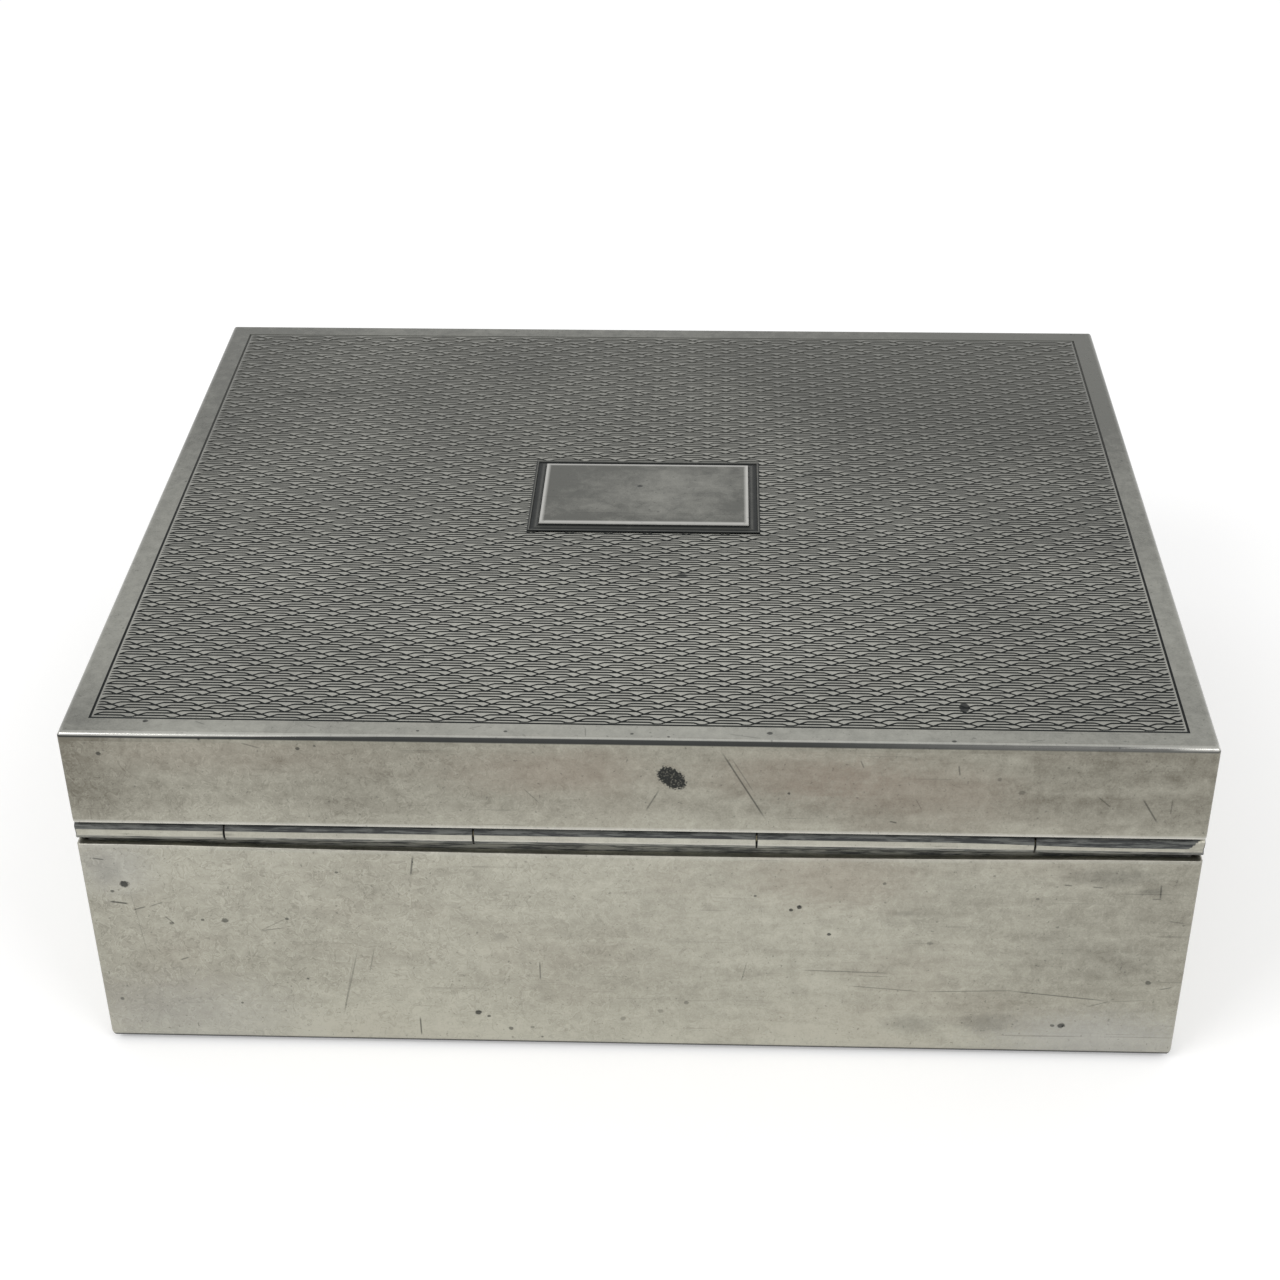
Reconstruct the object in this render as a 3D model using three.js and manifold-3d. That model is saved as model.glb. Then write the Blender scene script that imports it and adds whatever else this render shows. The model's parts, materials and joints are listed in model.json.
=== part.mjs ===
// Table cigarette box: a silver band and lid on a flush five-knuckle joint, lined with cedar.
// Millimetres, +Z up. The origin is on the table under the middle of the box, the joint is on
// the +Y side and the box opens from the -Y side.

import * as THREE from 'three';
import { mergeVertices } from 'three/addons/utils/BufferGeometryUtils.js';
import Module from 'manifold-3d';

const wasm = await Module();
wasm.setup();

// Outside of the closed box
const WIDTH = 108;
const DEPTH = 88.5;
const HEIGHT = 38.9;
const RIM_LEVEL = 27;
const RIM_GAP = 0.1;
const CORNER_RADIUS = 0.4;
const TOP_EDGE_RADIUS = 0.5;
const BOTTOM_EDGE_RADIUS = 1;

// Silver sheet
const WALL = 0.8;
const TOP_PLATE = 0.9;
const FLANGE_WIDTH = 2.4;
const FLANGE_THICKNESS = 0.8;

// Applied cartouche on the lid, a little forward and to the right of its middle
const CARTOUCHE_WIDTH = 25;
const CARTOUCHE_DEPTH = 15.6;
const CARTOUCHE_FORWARD = 1.5;
const CARTOUCHE_ASIDE = 0.4;
const CARTOUCHE_BASE = 0.15;
const CARTOUCHE_RISE = 0.3;
const MOULDING_WIDTH = 1.2;
const TABLET_BEVEL = 0.2;

// Joint: a tube cut into five knuckles, lying in a channel between two grooved bearers
const KNUCKLE_DIAMETER = 2.2;
const KNUCKLE_RECESS = 0.05;
const KNUCKLE_CLEARANCE = 0.2;
const KNUCKLE_GAP = 0.15;
const MIDDLE_KNUCKLE = 27.1;
const LEFT_LID_KNUCKLE = 26.4;
const RIGHT_LID_KNUCKLE = 24;
const MIDDLE_KNUCKLE_OFFSET = 1.95;
const BEARER_WALL = 0.8;
const PIN_DIAMETER = 1;
const PIN_CLEARANCE = 0.09;
const PIN_END_INSET = 0.6;

// Base and cedar lining
const BAIZE_STAND = 0.3;
const BASE_BOARD = 2;
const FLOOR_THICKNESS = 1.6;
const LINING_THICKNESS = 2.4;
const LINING_DROP = 0.5;
const DIVIDER_THICKNESS = 2;
const DIVIDER_DROP = 3;
const DIVIDER_CORNER = 1.5;
const GROOVE_DEPTH = 1;
const FIT = 0.15;
const BAIZE_FIT = 0.3;

// Fineness of round stretches, and the reach of a cut past the face that it opens
const CORNER_STEPS = 7;
const EDGE_STEPS = 4;
const TUBE_STEPS = 12;
const CUT_MARGIN = 1;
const MERGE_DISTANCE = 1e-4;

// Levels and faces that several pieces share
const FLANGE_TOP = BAIZE_STAND + FLANGE_THICKNESS;
const FLOOR_LEVEL = FLANGE_TOP + BASE_BOARD;
const SLIP_LEVEL = FLOOR_LEVEL + FLOOR_THICKNESS;
const PLATE_LEVEL = HEIGHT - TOP_PLATE;
const BODY_RIM = RIM_LEVEL - RIM_GAP / 2;
const LID_RIM = RIM_LEVEL + RIM_GAP / 2;
const INNER_WIDTH = WIDTH - 2 * WALL;
const INNER_DEPTH = DEPTH - 2 * WALL;
const INNER_RADIUS = Math.max(CORNER_RADIUS - WALL, FIT);
const LINED_WIDTH = INNER_WIDTH - 2 * FIT;
const LINED_DEPTH = INNER_DEPTH - 2 * FIT;
const KNUCKLE_RADIUS = KNUCKLE_DIAMETER / 2;
const CHANNEL_RADIUS = KNUCKLE_RADIUS + KNUCKLE_CLEARANCE;
const AXIS_Y = DEPTH / 2 - KNUCKLE_RECESS - KNUCKLE_RADIUS;
const BEARER_FRONT = AXIS_Y - CHANNEL_RADIUS - BEARER_WALL;
const BEARER_BACK = DEPTH / 2 - WALL - FIT;
const BEARER_DROP = CHANNEL_RADIUS + BEARER_WALL;

function silver(color) {
  return new THREE.MeshStandardMaterial({ color, metalness: 1, roughness: 0.35 });
}

function timber(color) {
  return new THREE.MeshStandardMaterial({ color, metalness: 0, roughness: 0.7 });
}

// A rectangle with round corners, centred on the origin.
function roundedRectangle(width, depth, radius) {
  const x = width / 2 - radius;
  const y = depth / 2 - radius;
  const shape = new THREE.Shape();
  shape.absarc(x, -y, radius, -Math.PI / 2, 0);
  shape.absarc(x, y, radius, 0, Math.PI / 2);
  shape.absarc(-x, y, radius, Math.PI / 2, Math.PI);
  shape.absarc(-x, -y, radius, Math.PI, 1.5 * Math.PI);
  shape.closePath();
  return shape;
}

function polygon(points) {
  return new THREE.Shape(points.map(([x, y]) => new THREE.Vector2(x, y)));
}

function rectangle(width, depth) {
  const x = width / 2;
  const y = depth / 2;
  return polygon([[-x, -y], [x, -y], [x, y], [-x, y]]);
}

// An upright prism on a plan outline.
function upright(outline, bottom, top) {
  const geometry = new THREE.ExtrudeGeometry(outline, {
    depth: top - bottom,
    bevelEnabled: false,
    curveSegments: CORNER_STEPS,
  });
  return geometry.translate(0, 0, bottom);
}

// An upright prism whose two end faces meet its sides in a quarter round, or in one bevel.
function uprightRounded(outline, bottom, top, radius, steps) {
  const geometry = new THREE.ExtrudeGeometry(outline, {
    depth: top - bottom - 2 * radius,
    bevelThickness: radius,
    bevelSize: radius,
    bevelOffset: -radius,
    bevelSegments: steps,
    curveSegments: CORNER_STEPS,
  });
  return geometry.translate(0, 0, bottom + radius);
}

// A prism along the box's width, on a section drawn in Y and Z.
function alongWidth(section, left, right) {
  const geometry = new THREE.ExtrudeGeometry(section, {
    depth: right - left,
    bevelEnabled: false,
    curveSegments: TUBE_STEPS,
  });
  const axes = new THREE.Matrix4().makeBasis(
    new THREE.Vector3(0, 1, 0),
    new THREE.Vector3(0, 0, 1),
    new THREE.Vector3(1, 0, 0),
  );
  return geometry.applyMatrix4(axes).translate(left, 0, 0);
}

function solidOf(geometry) {
  const bare = geometry.clone();
  bare.deleteAttribute('normal');
  bare.deleteAttribute('uv');
  const merged = mergeVertices(bare, MERGE_DISTANCE);
  return new wasm.Manifold(new wasm.Mesh({
    numProp: 3,
    vertProperties: Float32Array.from(merged.attributes.position.array),
    triVerts: Uint32Array.from(merged.index.array),
  }));
}

function geometryOf(solid) {
  const { vertProperties, triVerts } = solid.getMesh();
  const geometry = new THREE.BufferGeometry();
  geometry.setAttribute('position', new THREE.BufferAttribute(vertProperties, 3));
  geometry.setIndex(new THREE.BufferAttribute(triVerts, 1));
  geometry.computeVertexNormals();
  return geometry;
}

// The box's own outline between two levels, drawn in by an inset.
function outlinePrism(inset, bottom, top) {
  const radius = Math.max(CORNER_RADIUS - inset, FIT);
  return upright(roundedRectangle(WIDTH - 2 * inset, DEPTH - 2 * inset, radius), bottom, top);
}

// An upright prism rounded at its top alone: one rounded at both ends, cut off at the bottom.
function roundedTop(outline, bottom, top, radius, steps) {
  const long = solidOf(uprightRounded(outline, bottom - 2 * radius, top, radius, steps));
  return long.intersect(solidOf(outlinePrism(-CUT_MARGIN, bottom, top + CUT_MARGIN)));
}

// The channel that lid and body share: a half round about the joint's axis, open to the back.
function jointChannel() {
  const opening = DEPTH / 2 + CUT_MARGIN;
  const section = new THREE.Shape();
  section.moveTo(opening, RIM_LEVEL + CHANNEL_RADIUS);
  section.lineTo(AXIS_Y, RIM_LEVEL + CHANNEL_RADIUS);
  section.absarc(AXIS_Y, RIM_LEVEL, CHANNEL_RADIUS, Math.PI / 2, 1.5 * Math.PI);
  section.lineTo(opening, RIM_LEVEL - CHANNEL_RADIUS);
  section.closePath();
  return solidOf(alongWidth(section, -WIDTH / 2 - CUT_MARGIN, WIDTH / 2 + CUT_MARGIN));
}

// Four walls of one band, turned in at the bottom as a flange that carries the base board.
function bodyBand() {
  const plan = rectangle(WIDTH, DEPTH);
  const height = BODY_RIM + 2 * BOTTOM_EDGE_RADIUS;
  const long = uprightRounded(plan, BAIZE_STAND, height, BOTTOM_EDGE_RADIUS, EDGE_STEPS);
  const blank = solidOf(long).intersect(solidOf(outlinePrism(0, 0, BODY_RIM)));
  const hollow = solidOf(outlinePrism(WALL, FLANGE_TOP, BODY_RIM + CUT_MARGIN));
  const opening = solidOf(outlinePrism(WALL + FLANGE_WIDTH, -CUT_MARGIN, FLANGE_TOP + CUT_MARGIN));
  return geometryOf(blank.subtract(hollow).subtract(opening).subtract(jointChannel()));
}

function lidBand() {
  const blank = solidOf(outlinePrism(0, LID_RIM, PLATE_LEVEL));
  const hollow = solidOf(outlinePrism(WALL, LID_RIM - CUT_MARGIN, PLATE_LEVEL + CUT_MARGIN));
  return geometryOf(blank.subtract(hollow).subtract(jointChannel()));
}

function lidTopPlate() {
  const plan = rectangle(WIDTH, DEPTH);
  const plate = roundedTop(plan, PLATE_LEVEL, HEIGHT, TOP_EDGE_RADIUS, EDGE_STEPS);
  const outline = solidOf(outlinePrism(0, PLATE_LEVEL - CUT_MARGIN, HEIGHT + CUT_MARGIN));
  return geometryOf(plate.intersect(outline));
}

// A low base, stepped up inside its moulding to a flat tablet with bevelled edges.
function cartouche() {
  const foot = HEIGHT + CARTOUCHE_BASE;
  const base = solidOf(upright(rectangle(CARTOUCHE_WIDTH, CARTOUCHE_DEPTH), HEIGHT, foot));
  const tablet = rectangle(CARTOUCHE_WIDTH - 2 * MOULDING_WIDTH, CARTOUCHE_DEPTH - 2 * MOULDING_WIDTH);
  const raised = roundedTop(tablet, HEIGHT, foot + CARTOUCHE_RISE, TABLET_BEVEL, 1);
  return geometryOf(base.add(raised)).translate(CARTOUCHE_ASIDE, -CARTOUCHE_FORWARD, 0);
}

// A strip inside a back edge, hollowed by the joint channel and rounded at its ends to the walls.
function jointBearer(bottom, top) {
  const section = polygon([
    [BEARER_FRONT, bottom],
    [BEARER_BACK, bottom],
    [BEARER_BACK, top],
    [BEARER_FRONT, top],
  ]);
  const strip = solidOf(alongWidth(section, -INNER_WIDTH / 2, INNER_WIDTH / 2));
  const inside = solidOf(outlinePrism(WALL + FIT, bottom - CUT_MARGIN, top + CUT_MARGIN));
  return geometryOf(strip.subtract(jointChannel()).intersect(inside));
}

// One length of the joint's tube, filed to the box's round corner where it reaches an end.
function knuckle(left, right) {
  const section = new THREE.Shape();
  section.absarc(AXIS_Y, RIM_LEVEL, KNUCKLE_RADIUS, 0, 2 * Math.PI);
  const bore = new THREE.Path();
  bore.absarc(AXIS_Y, RIM_LEVEL, PIN_DIAMETER / 2 + PIN_CLEARANCE, 0, 2 * Math.PI);
  section.holes.push(bore);
  const tube = solidOf(alongWidth(section, left, right));
  const bottom = RIM_LEVEL - KNUCKLE_RADIUS - CUT_MARGIN;
  const top = RIM_LEVEL + KNUCKLE_RADIUS + CUT_MARGIN;
  return geometryOf(tube.intersect(solidOf(outlinePrism(0, bottom, top))));
}

// Names and ends of the five knuckles from left to right, with a saw cut between neighbours.
function knuckleSpans() {
  const middle = MIDDLE_KNUCKLE_OFFSET - MIDDLE_KNUCKLE / 2;
  const cuts = [
    -WIDTH / 2,
    middle - LEFT_LID_KNUCKLE,
    middle,
    middle + MIDDLE_KNUCKLE,
    middle + MIDDLE_KNUCKLE + RIGHT_LID_KNUCKLE,
    WIDTH / 2,
  ];
  const names = [
    'body_knuckle_left',
    'lid_knuckle_left',
    'body_knuckle_middle',
    'lid_knuckle_right',
    'body_knuckle_right',
  ];
  return names.map((name, index) => ({
    name,
    left: cuts[index] + (index > 0 ? KNUCKLE_GAP / 2 : 0),
    right: cuts[index + 1] - (index < names.length - 1 ? KNUCKLE_GAP / 2 : 0),
  }));
}

function hingePin() {
  const section = new THREE.Shape();
  section.absarc(AXIS_Y, RIM_LEVEL, PIN_DIAMETER / 2, 0, 2 * Math.PI);
  const end = WIDTH / 2 - PIN_END_INSET;
  return alongWidth(section, -end, end);
}

function baseBaize() {
  return outlinePrism(WALL + FLANGE_WIDTH + BAIZE_FIT, 0, FLANGE_TOP);
}

function baseBoard() {
  return outlinePrism(WALL + FIT, FLANGE_TOP, FLOOR_LEVEL);
}

function liningFloor() {
  return outlinePrism(WALL + FIT, FLOOR_LEVEL, SLIP_LEVEL);
}

// Plan of a lining slip with its outer edge on Y = 0: mitred ends, and tips cut back from the
// round corners of the band. A slip that holds the divider has a groove in its inner edge.
function slipPlan(length, groove) {
  const outer = length / 2;
  const tip = INNER_RADIUS;
  const inner = outer - LINING_THICKNESS - FIT / 2;
  const points = [
    [-outer + tip + FIT / 2, 0],
    [outer - tip - FIT / 2, 0],
    [outer - tip - FIT / 2, tip],
    [inner, LINING_THICKNESS],
  ];
  if (groove > 0) {
    const floor = LINING_THICKNESS - GROOVE_DEPTH;
    points.push([groove / 2, LINING_THICKNESS], [groove / 2, floor]);
    points.push([-groove / 2, floor], [-groove / 2, LINING_THICKNESS]);
  }
  points.push([-inner, LINING_THICKNESS], [-outer + tip + FIT / 2, tip]);
  return polygon(points);
}

function longSlip(turn, top) {
  const plan = slipPlan(LINED_WIDTH, DIVIDER_THICKNESS + 2 * FIT);
  return upright(plan, SLIP_LEVEL, top).translate(0, -LINED_DEPTH / 2, 0).rotateZ(turn);
}

// A side slip is notched at the back, where the joint's bearer reaches the band.
function sideSlip(turn) {
  const slip = upright(slipPlan(LINED_DEPTH, 0), SLIP_LEVEL, BODY_RIM - LINING_DROP)
    .translate(0, -LINED_WIDTH / 2, 0)
    .rotateZ(turn);
  const notch = alongWidth(
    polygon([
      [BEARER_FRONT - FIT, RIM_LEVEL - BEARER_DROP - FIT],
      [DEPTH / 2, RIM_LEVEL - BEARER_DROP - FIT],
      [DEPTH / 2, RIM_LEVEL],
      [BEARER_FRONT - FIT, RIM_LEVEL],
    ]),
    -WIDTH / 2,
    WIDTH / 2,
  );
  return geometryOf(solidOf(slip).subtract(solidOf(notch)));
}

// A thin board across the middle, standing in the grooves of the front and back slips.
function compartmentDivider() {
  const reach = LINED_DEPTH / 2 - LINING_THICKNESS + GROOVE_DEPTH - FIT;
  const top = BODY_RIM - DIVIDER_DROP;
  const face = new THREE.Shape();
  face.moveTo(-reach, SLIP_LEVEL);
  face.lineTo(reach, SLIP_LEVEL);
  face.absarc(reach - DIVIDER_CORNER, top - DIVIDER_CORNER, DIVIDER_CORNER, 0, Math.PI / 2);
  face.absarc(-reach + DIVIDER_CORNER, top - DIVIDER_CORNER, DIVIDER_CORNER, Math.PI / 2, Math.PI);
  face.closePath();
  return alongWidth(face, -DIVIDER_THICKNESS / 2, DIVIDER_THICKNESS / 2);
}

const box = new THREE.Group();

function add(name, geometry, material) {
  const mesh = new THREE.Mesh(geometry, material);
  mesh.name = name;
  box.add(mesh);
}

add('body_band', bodyBand(), silver(0xa9a69b));
add('base_board', baseBoard(), timber(0x8a5a35));
add('base_baize', baseBaize(), timber(0x24422f));
add('lining_floor', liningFloor(), timber(0xa9693f));
add('lining_front', longSlip(0, BODY_RIM - LINING_DROP), timber(0xb0724a));
add('lining_back', longSlip(Math.PI, RIM_LEVEL - BEARER_DROP - FIT), timber(0xb0724a));
add('lining_right', sideSlip(Math.PI / 2), timber(0xa86a43));
add('lining_left', sideSlip(-Math.PI / 2), timber(0xa86a43));
add('compartment_divider', compartmentDivider(), timber(0xb67a50));
add('body_joint_bearer', jointBearer(RIM_LEVEL - BEARER_DROP, BODY_RIM), silver(0x8f8d86));
add('lid_joint_bearer', jointBearer(LID_RIM, RIM_LEVEL + BEARER_DROP), silver(0x8f8d86));
for (const { name, left, right } of knuckleSpans()) {
  add(name, knuckle(left, right), silver(0xc4c1b8));
}
add('hinge_pin', hingePin(), silver(0x9a8f6a));
add('lid_band', lidBand(), silver(0xa9a69b));
add('lid_top_plate', lidTopPlate(), silver(0x8e8b84));
add('cartouche', cartouche(), silver(0xa5a29a));

export default box;
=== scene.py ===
"""Table cigarette box in worn silver, laid out as a Blender add-on and run as a script.

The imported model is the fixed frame. Each piece is a surface worked out with numpy, in metres,
in the frame's own place: +Y is the joint side, +Z is up and the box stands on Z = 0.
"""

import json
import math

import bpy
import numpy as np
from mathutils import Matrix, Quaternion, Vector


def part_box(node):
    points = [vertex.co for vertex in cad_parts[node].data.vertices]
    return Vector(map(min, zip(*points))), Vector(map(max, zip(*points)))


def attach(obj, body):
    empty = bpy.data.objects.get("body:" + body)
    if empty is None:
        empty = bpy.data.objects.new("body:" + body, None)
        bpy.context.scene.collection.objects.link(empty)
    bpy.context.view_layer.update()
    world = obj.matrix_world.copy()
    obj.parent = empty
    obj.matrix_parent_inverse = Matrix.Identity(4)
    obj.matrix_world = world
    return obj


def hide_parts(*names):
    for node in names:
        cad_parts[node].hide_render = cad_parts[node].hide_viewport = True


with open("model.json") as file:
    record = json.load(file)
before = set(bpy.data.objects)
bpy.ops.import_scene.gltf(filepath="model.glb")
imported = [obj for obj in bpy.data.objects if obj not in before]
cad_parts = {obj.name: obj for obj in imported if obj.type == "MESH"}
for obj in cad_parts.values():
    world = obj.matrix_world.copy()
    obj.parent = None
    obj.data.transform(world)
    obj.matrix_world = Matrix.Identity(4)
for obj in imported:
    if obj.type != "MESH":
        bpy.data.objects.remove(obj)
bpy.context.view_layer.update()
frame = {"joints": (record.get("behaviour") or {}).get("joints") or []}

bl_info = {
    "name": "Silver cigarette box",
    "version": (1, 0, 0),
    "blender": (4, 5, 0),
    "location": "3D View > Sidebar > Cigarette box",
    "description": "Builds an engine-turned silver table box around its packed frame",
    "category": "Add Mesh",
}

MM = 0.001
FLOOR_RADIUS = 12


def corners(node):
    """Lowest and highest corner of a frame node, as arrays in metres."""
    low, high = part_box(node)
    return np.array(low), np.array(high)


# Places that the frame fixes
(_, _, BAND_FOOT), (HALF_WIDTH, HALF_DEPTH, _) = corners("body_band")
PLATE_FOOT, LID_TOP = (corner[2] for corner in corners("lid_top_plate"))
HINGE_Y, HINGE_Z = frame["joints"][0]["pos_m"][1:]
KNUCKLES = {
    "body_knuckle_left": "body",
    "lid_knuckle_left": "lid",
    "body_knuckle_middle": "body",
    "lid_knuckle_right": "lid",
    "body_knuckle_right": "body",
}

# Fineness of the surfaces
ARC_STEPS = 12
EDGE_STEPS = 8
SIDE_STEPS = 24
TUBE_STEPS = 128
PANEL_STRIPS = 3
STEPS_PER_WAVE = 16
TRACK_STEPS = 15
BODY_ROWS, LID_ROWS = 8, 7
FLOOR_STEPS = 96
SHARP_ANGLE = math.radians(25)
SHARP_RADIUS = 0.02 * MM

# Small distances: a step between two rows, the strip of wall next to a rim, and the least depth of
# a slip's notch
HAIR = 0.02 * MM
RIM_STRIP = 0.35 * MM
NOTCH_LEAST = 0.05 * MM

# How bright handling keeps the rims, and how dark oxide makes what lies hidden; the same value
# is painted shade on the lower edge where it faces the floor
BODY_RIM_WEAR, LID_RIM_WEAR = 0.1, 0.45
HIDDEN_OXIDE_AND_SHADE = 0.3

# Turned lines: their six shifts in turn, in steps of a wave, how soft the point of a dip is, and
# the least distance of a point on a line from the line's end
LINE_SHIFTS = np.array([0, 3, 0, 8, 11, 8])
DIP_SOFTNESS = 0.015
LINE_END_GAP = 0.05 * MM

# Baize: its soft edge, how far its underside waves, and the waves' radians in a metre along X and Y
BAIZE_EDGE = 0.25 * MM
BAIZE_WAVE = 0.025 * MM
BAIZE_RADIANS = (900, 1100)

# Studio: name, place, size and power of each lamp, the room's grey, the floor's own light, and the
# least distance that the camera sees
LAMPS = (
    ("key_lamp", (0.43, 0.38, 0.60), 0.34, 1.45),
    ("fill_lamp", (-0.37, 0.42, 0.60), 0.26, 0.75),
)
ROOM = (0.72, 0.72, 0.72)
BLACK, WHITE = (0, 0, 0), (1, 1, 1)
FLOOR_GLOW = 0.3
CLIP_START = 0.01


def length(name, description, millimetres):
    return bpy.props.FloatProperty(
        name=name, description=description, default=millimetres * MM, min=0, unit="LENGTH", precision=5
    )


def colour(name, description, default):
    return bpy.props.FloatVectorProperty(
        name=name, description=description, default=default, size=3, min=0, max=1, subtype="COLOR"
    )


def share(name, description, default):
    return bpy.props.FloatProperty(
        name=name, description=description, default=default, min=0, max=1, subtype="FACTOR"
    )


class ShellSizes(bpy.types.PropertyGroup):
    """Sizes of the silver sheet: band, lid walls and top plate."""

    corner_radius: length("Corner radius", "Radius of the four upright corners", 0.4)
    wall: length("Wall", "Thickness of the silver walls", 0.8)
    top_edge: length("Top edge", "Radius of the lid's upper edge", 0.5)
    bottom_edge: length("Bottom edge", "Radius of the band's lower edge", 1)
    flange_width: length("Flange width", "Reach of the turned-in lower edge past the wall", 2.4)
    flange: length("Flange", "Thickness of the turned-in lower edge", 0.8)
    rim_round: length("Rim round", "Radius on the edges of the rims", 0.14)
    rim_gap: length("Rim gap", "Gap between the rims of lid and band", 0.1)


class TurningSizes(bpy.types.PropertyGroup):
    """Sizes of the engine turning on the lid."""

    border_inset: length("Border inset", "Distance of the engraved border line from the lid's outline", 2.6)
    border_cut: length("Border cut", "Width of the engraved border line", 0.27)
    lines: bpy.props.IntProperty(
        name="Lines", description="Number of cut lines from back to front", default=192, min=6
    )
    cut_width: length("Cut width", "Width of one cut line", 0.25)
    cut_depth: length("Cut depth", "Depth of one cut line", 0.069)
    wave_length: length("Wave length", "Distance between the dips of one line", 4.155)
    first_dip: length("First dip", "Distance of the first line's first dip from the border line", 3.67)
    dip_width: length("Dip half width", "Half the width of a dip", 0.68)
    dip_share: share("Dip depth", "Depth of a dip as a share of the distance between lines", 0.95)
    run_out: length("Run-out", "Plain stretch between the lines' ends and the border line", 0.26)
    bed: length("Bed", "Thickness of the turned panel", 0.3)


class CartoucheSizes(bpy.types.PropertyGroup):
    """Sizes of the applied cartouche."""

    moulding: length("Moulding", "Width of the stepped moulding round the tablet", 1.2)
    fillet: length("Fillet", "Height of the moulding's outer fillet", 0.15)
    tablet_edge: length("Tablet edge", "Radius of the tablet's edge", 0.22)


class JointSizes(bpy.types.PropertyGroup):
    """Sizes of the flush joint."""

    channel: length("Channel radius", "Radius of the channel that the tube lies in", 1.3)
    bore: length("Bore radius", "Radius of the bore through the tube", 0.59)
    saw_edge: length("Saw edge", "Chamfer on the ends of the knuckles", 0.05)
    sag: length("Sag", "How far the body's back edge is worn down in its middle", 0.4)
    sag_reach: length("Sag reach", "Distance from the middle at which the worn stretch ends", 46)


class LiningSizes(bpy.types.PropertyGroup):
    """Sizes of the cedar lining."""

    fit: length("Fit", "Gap between the lining and what it stands against", 0.15)
    edge: length("Edge", "Chamfer on the edges of the boards", 0.3)
    groove: length("Groove", "Depth of the groove that holds the divider", 1)
    divider_corner: length("Divider corner", "Radius of the divider's upper corners", 1.5)


class BoxColours(bpy.types.PropertyGroup):
    """Colours of the finishes."""

    silver: colour("Silver", "Clean silver of the walls", (0.47, 0.458, 0.388))
    tarnish: colour("Tarnish", "Walls under an even tarnish", (0.160, 0.149, 0.120))
    lid_silver: colour("Lid silver", "Clean silver of the lid's top", (0.405, 0.403, 0.361))
    lid_tarnish: colour("Lid tarnish", "The lid's top under tarnish", (0.135, 0.136, 0.123))
    bright: colour("Bright silver", "Silver that handling keeps bright", (0.82, 0.81, 0.77))
    oxide: colour("Oxide", "Dark oxide in cuts and hollows", (0.022, 0.024, 0.024))
    grime: colour("Grime", "Grey grime in the joint", (0.172, 0.178, 0.165))
    brown: colour("Brown", "Brown tarnish in patches", (0.235, 0.178, 0.140))
    grey: colour("Grey", "Cool grey film at the corners", (0.40, 0.398, 0.385))
    wire: colour("Wire", "Drawn wire of the joint's pin", (0.36, 0.31, 0.17))
    cedar_light: colour("Cedar, light", "Early wood of the lining", (0.47, 0.215, 0.095))
    cedar_dark: colour("Cedar, dark", "Late wood of the lining", (0.27, 0.098, 0.038))
    baize: colour("Baize", "Wool baize under the base", (0.020, 0.062, 0.031))
    floor: colour("Floor", "Pale studio floor", (0.85, 0.85, 0.85))


class StageSettings(bpy.types.PropertyGroup):
    """Camera."""

    lens: bpy.props.FloatProperty(
        name="Lens", description="Focal length on a 36 mm frame", default=61.99, unit="CAMERA"
    )
    camera_place: bpy.props.FloatVectorProperty(
        name="Camera", description="Place of the camera", default=(-0.00727, 0.20934, 0.15850),
        subtype="TRANSLATION", unit="LENGTH", precision=5,
    )
    camera_aim: bpy.props.FloatVectorProperty(
        name="Aim", description="Point that the camera looks at", default=(0.0011, 0, 0.02103),
        subtype="TRANSLATION", unit="LENGTH", precision=5,
    )
    camera_roll: bpy.props.FloatProperty(
        name="Roll", description="Turn of the camera about its own axis",
        default=math.radians(-0.534), subtype="ANGLE",
    )


class BoxSettings(bpy.types.PropertyGroup):
    """All settings of the cigarette box."""

    shell: bpy.props.PointerProperty(type=ShellSizes, name="Shell", description="Silver sheet")
    turning: bpy.props.PointerProperty(type=TurningSizes, name="Turning", description="Engine turning")
    cartouche: bpy.props.PointerProperty(type=CartoucheSizes, name="Cartouche", description="Tablet")
    joint: bpy.props.PointerProperty(type=JointSizes, name="Joint", description="Flush joint")
    lining: bpy.props.PointerProperty(type=LiningSizes, name="Lining", description="Cedar lining")
    colours: bpy.props.PointerProperty(type=BoxColours, name="Colours", description="Finishes")
    stage: bpy.props.PointerProperty(type=StageSettings, name="Stage", description="Camera and light")


# Surfaces


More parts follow.
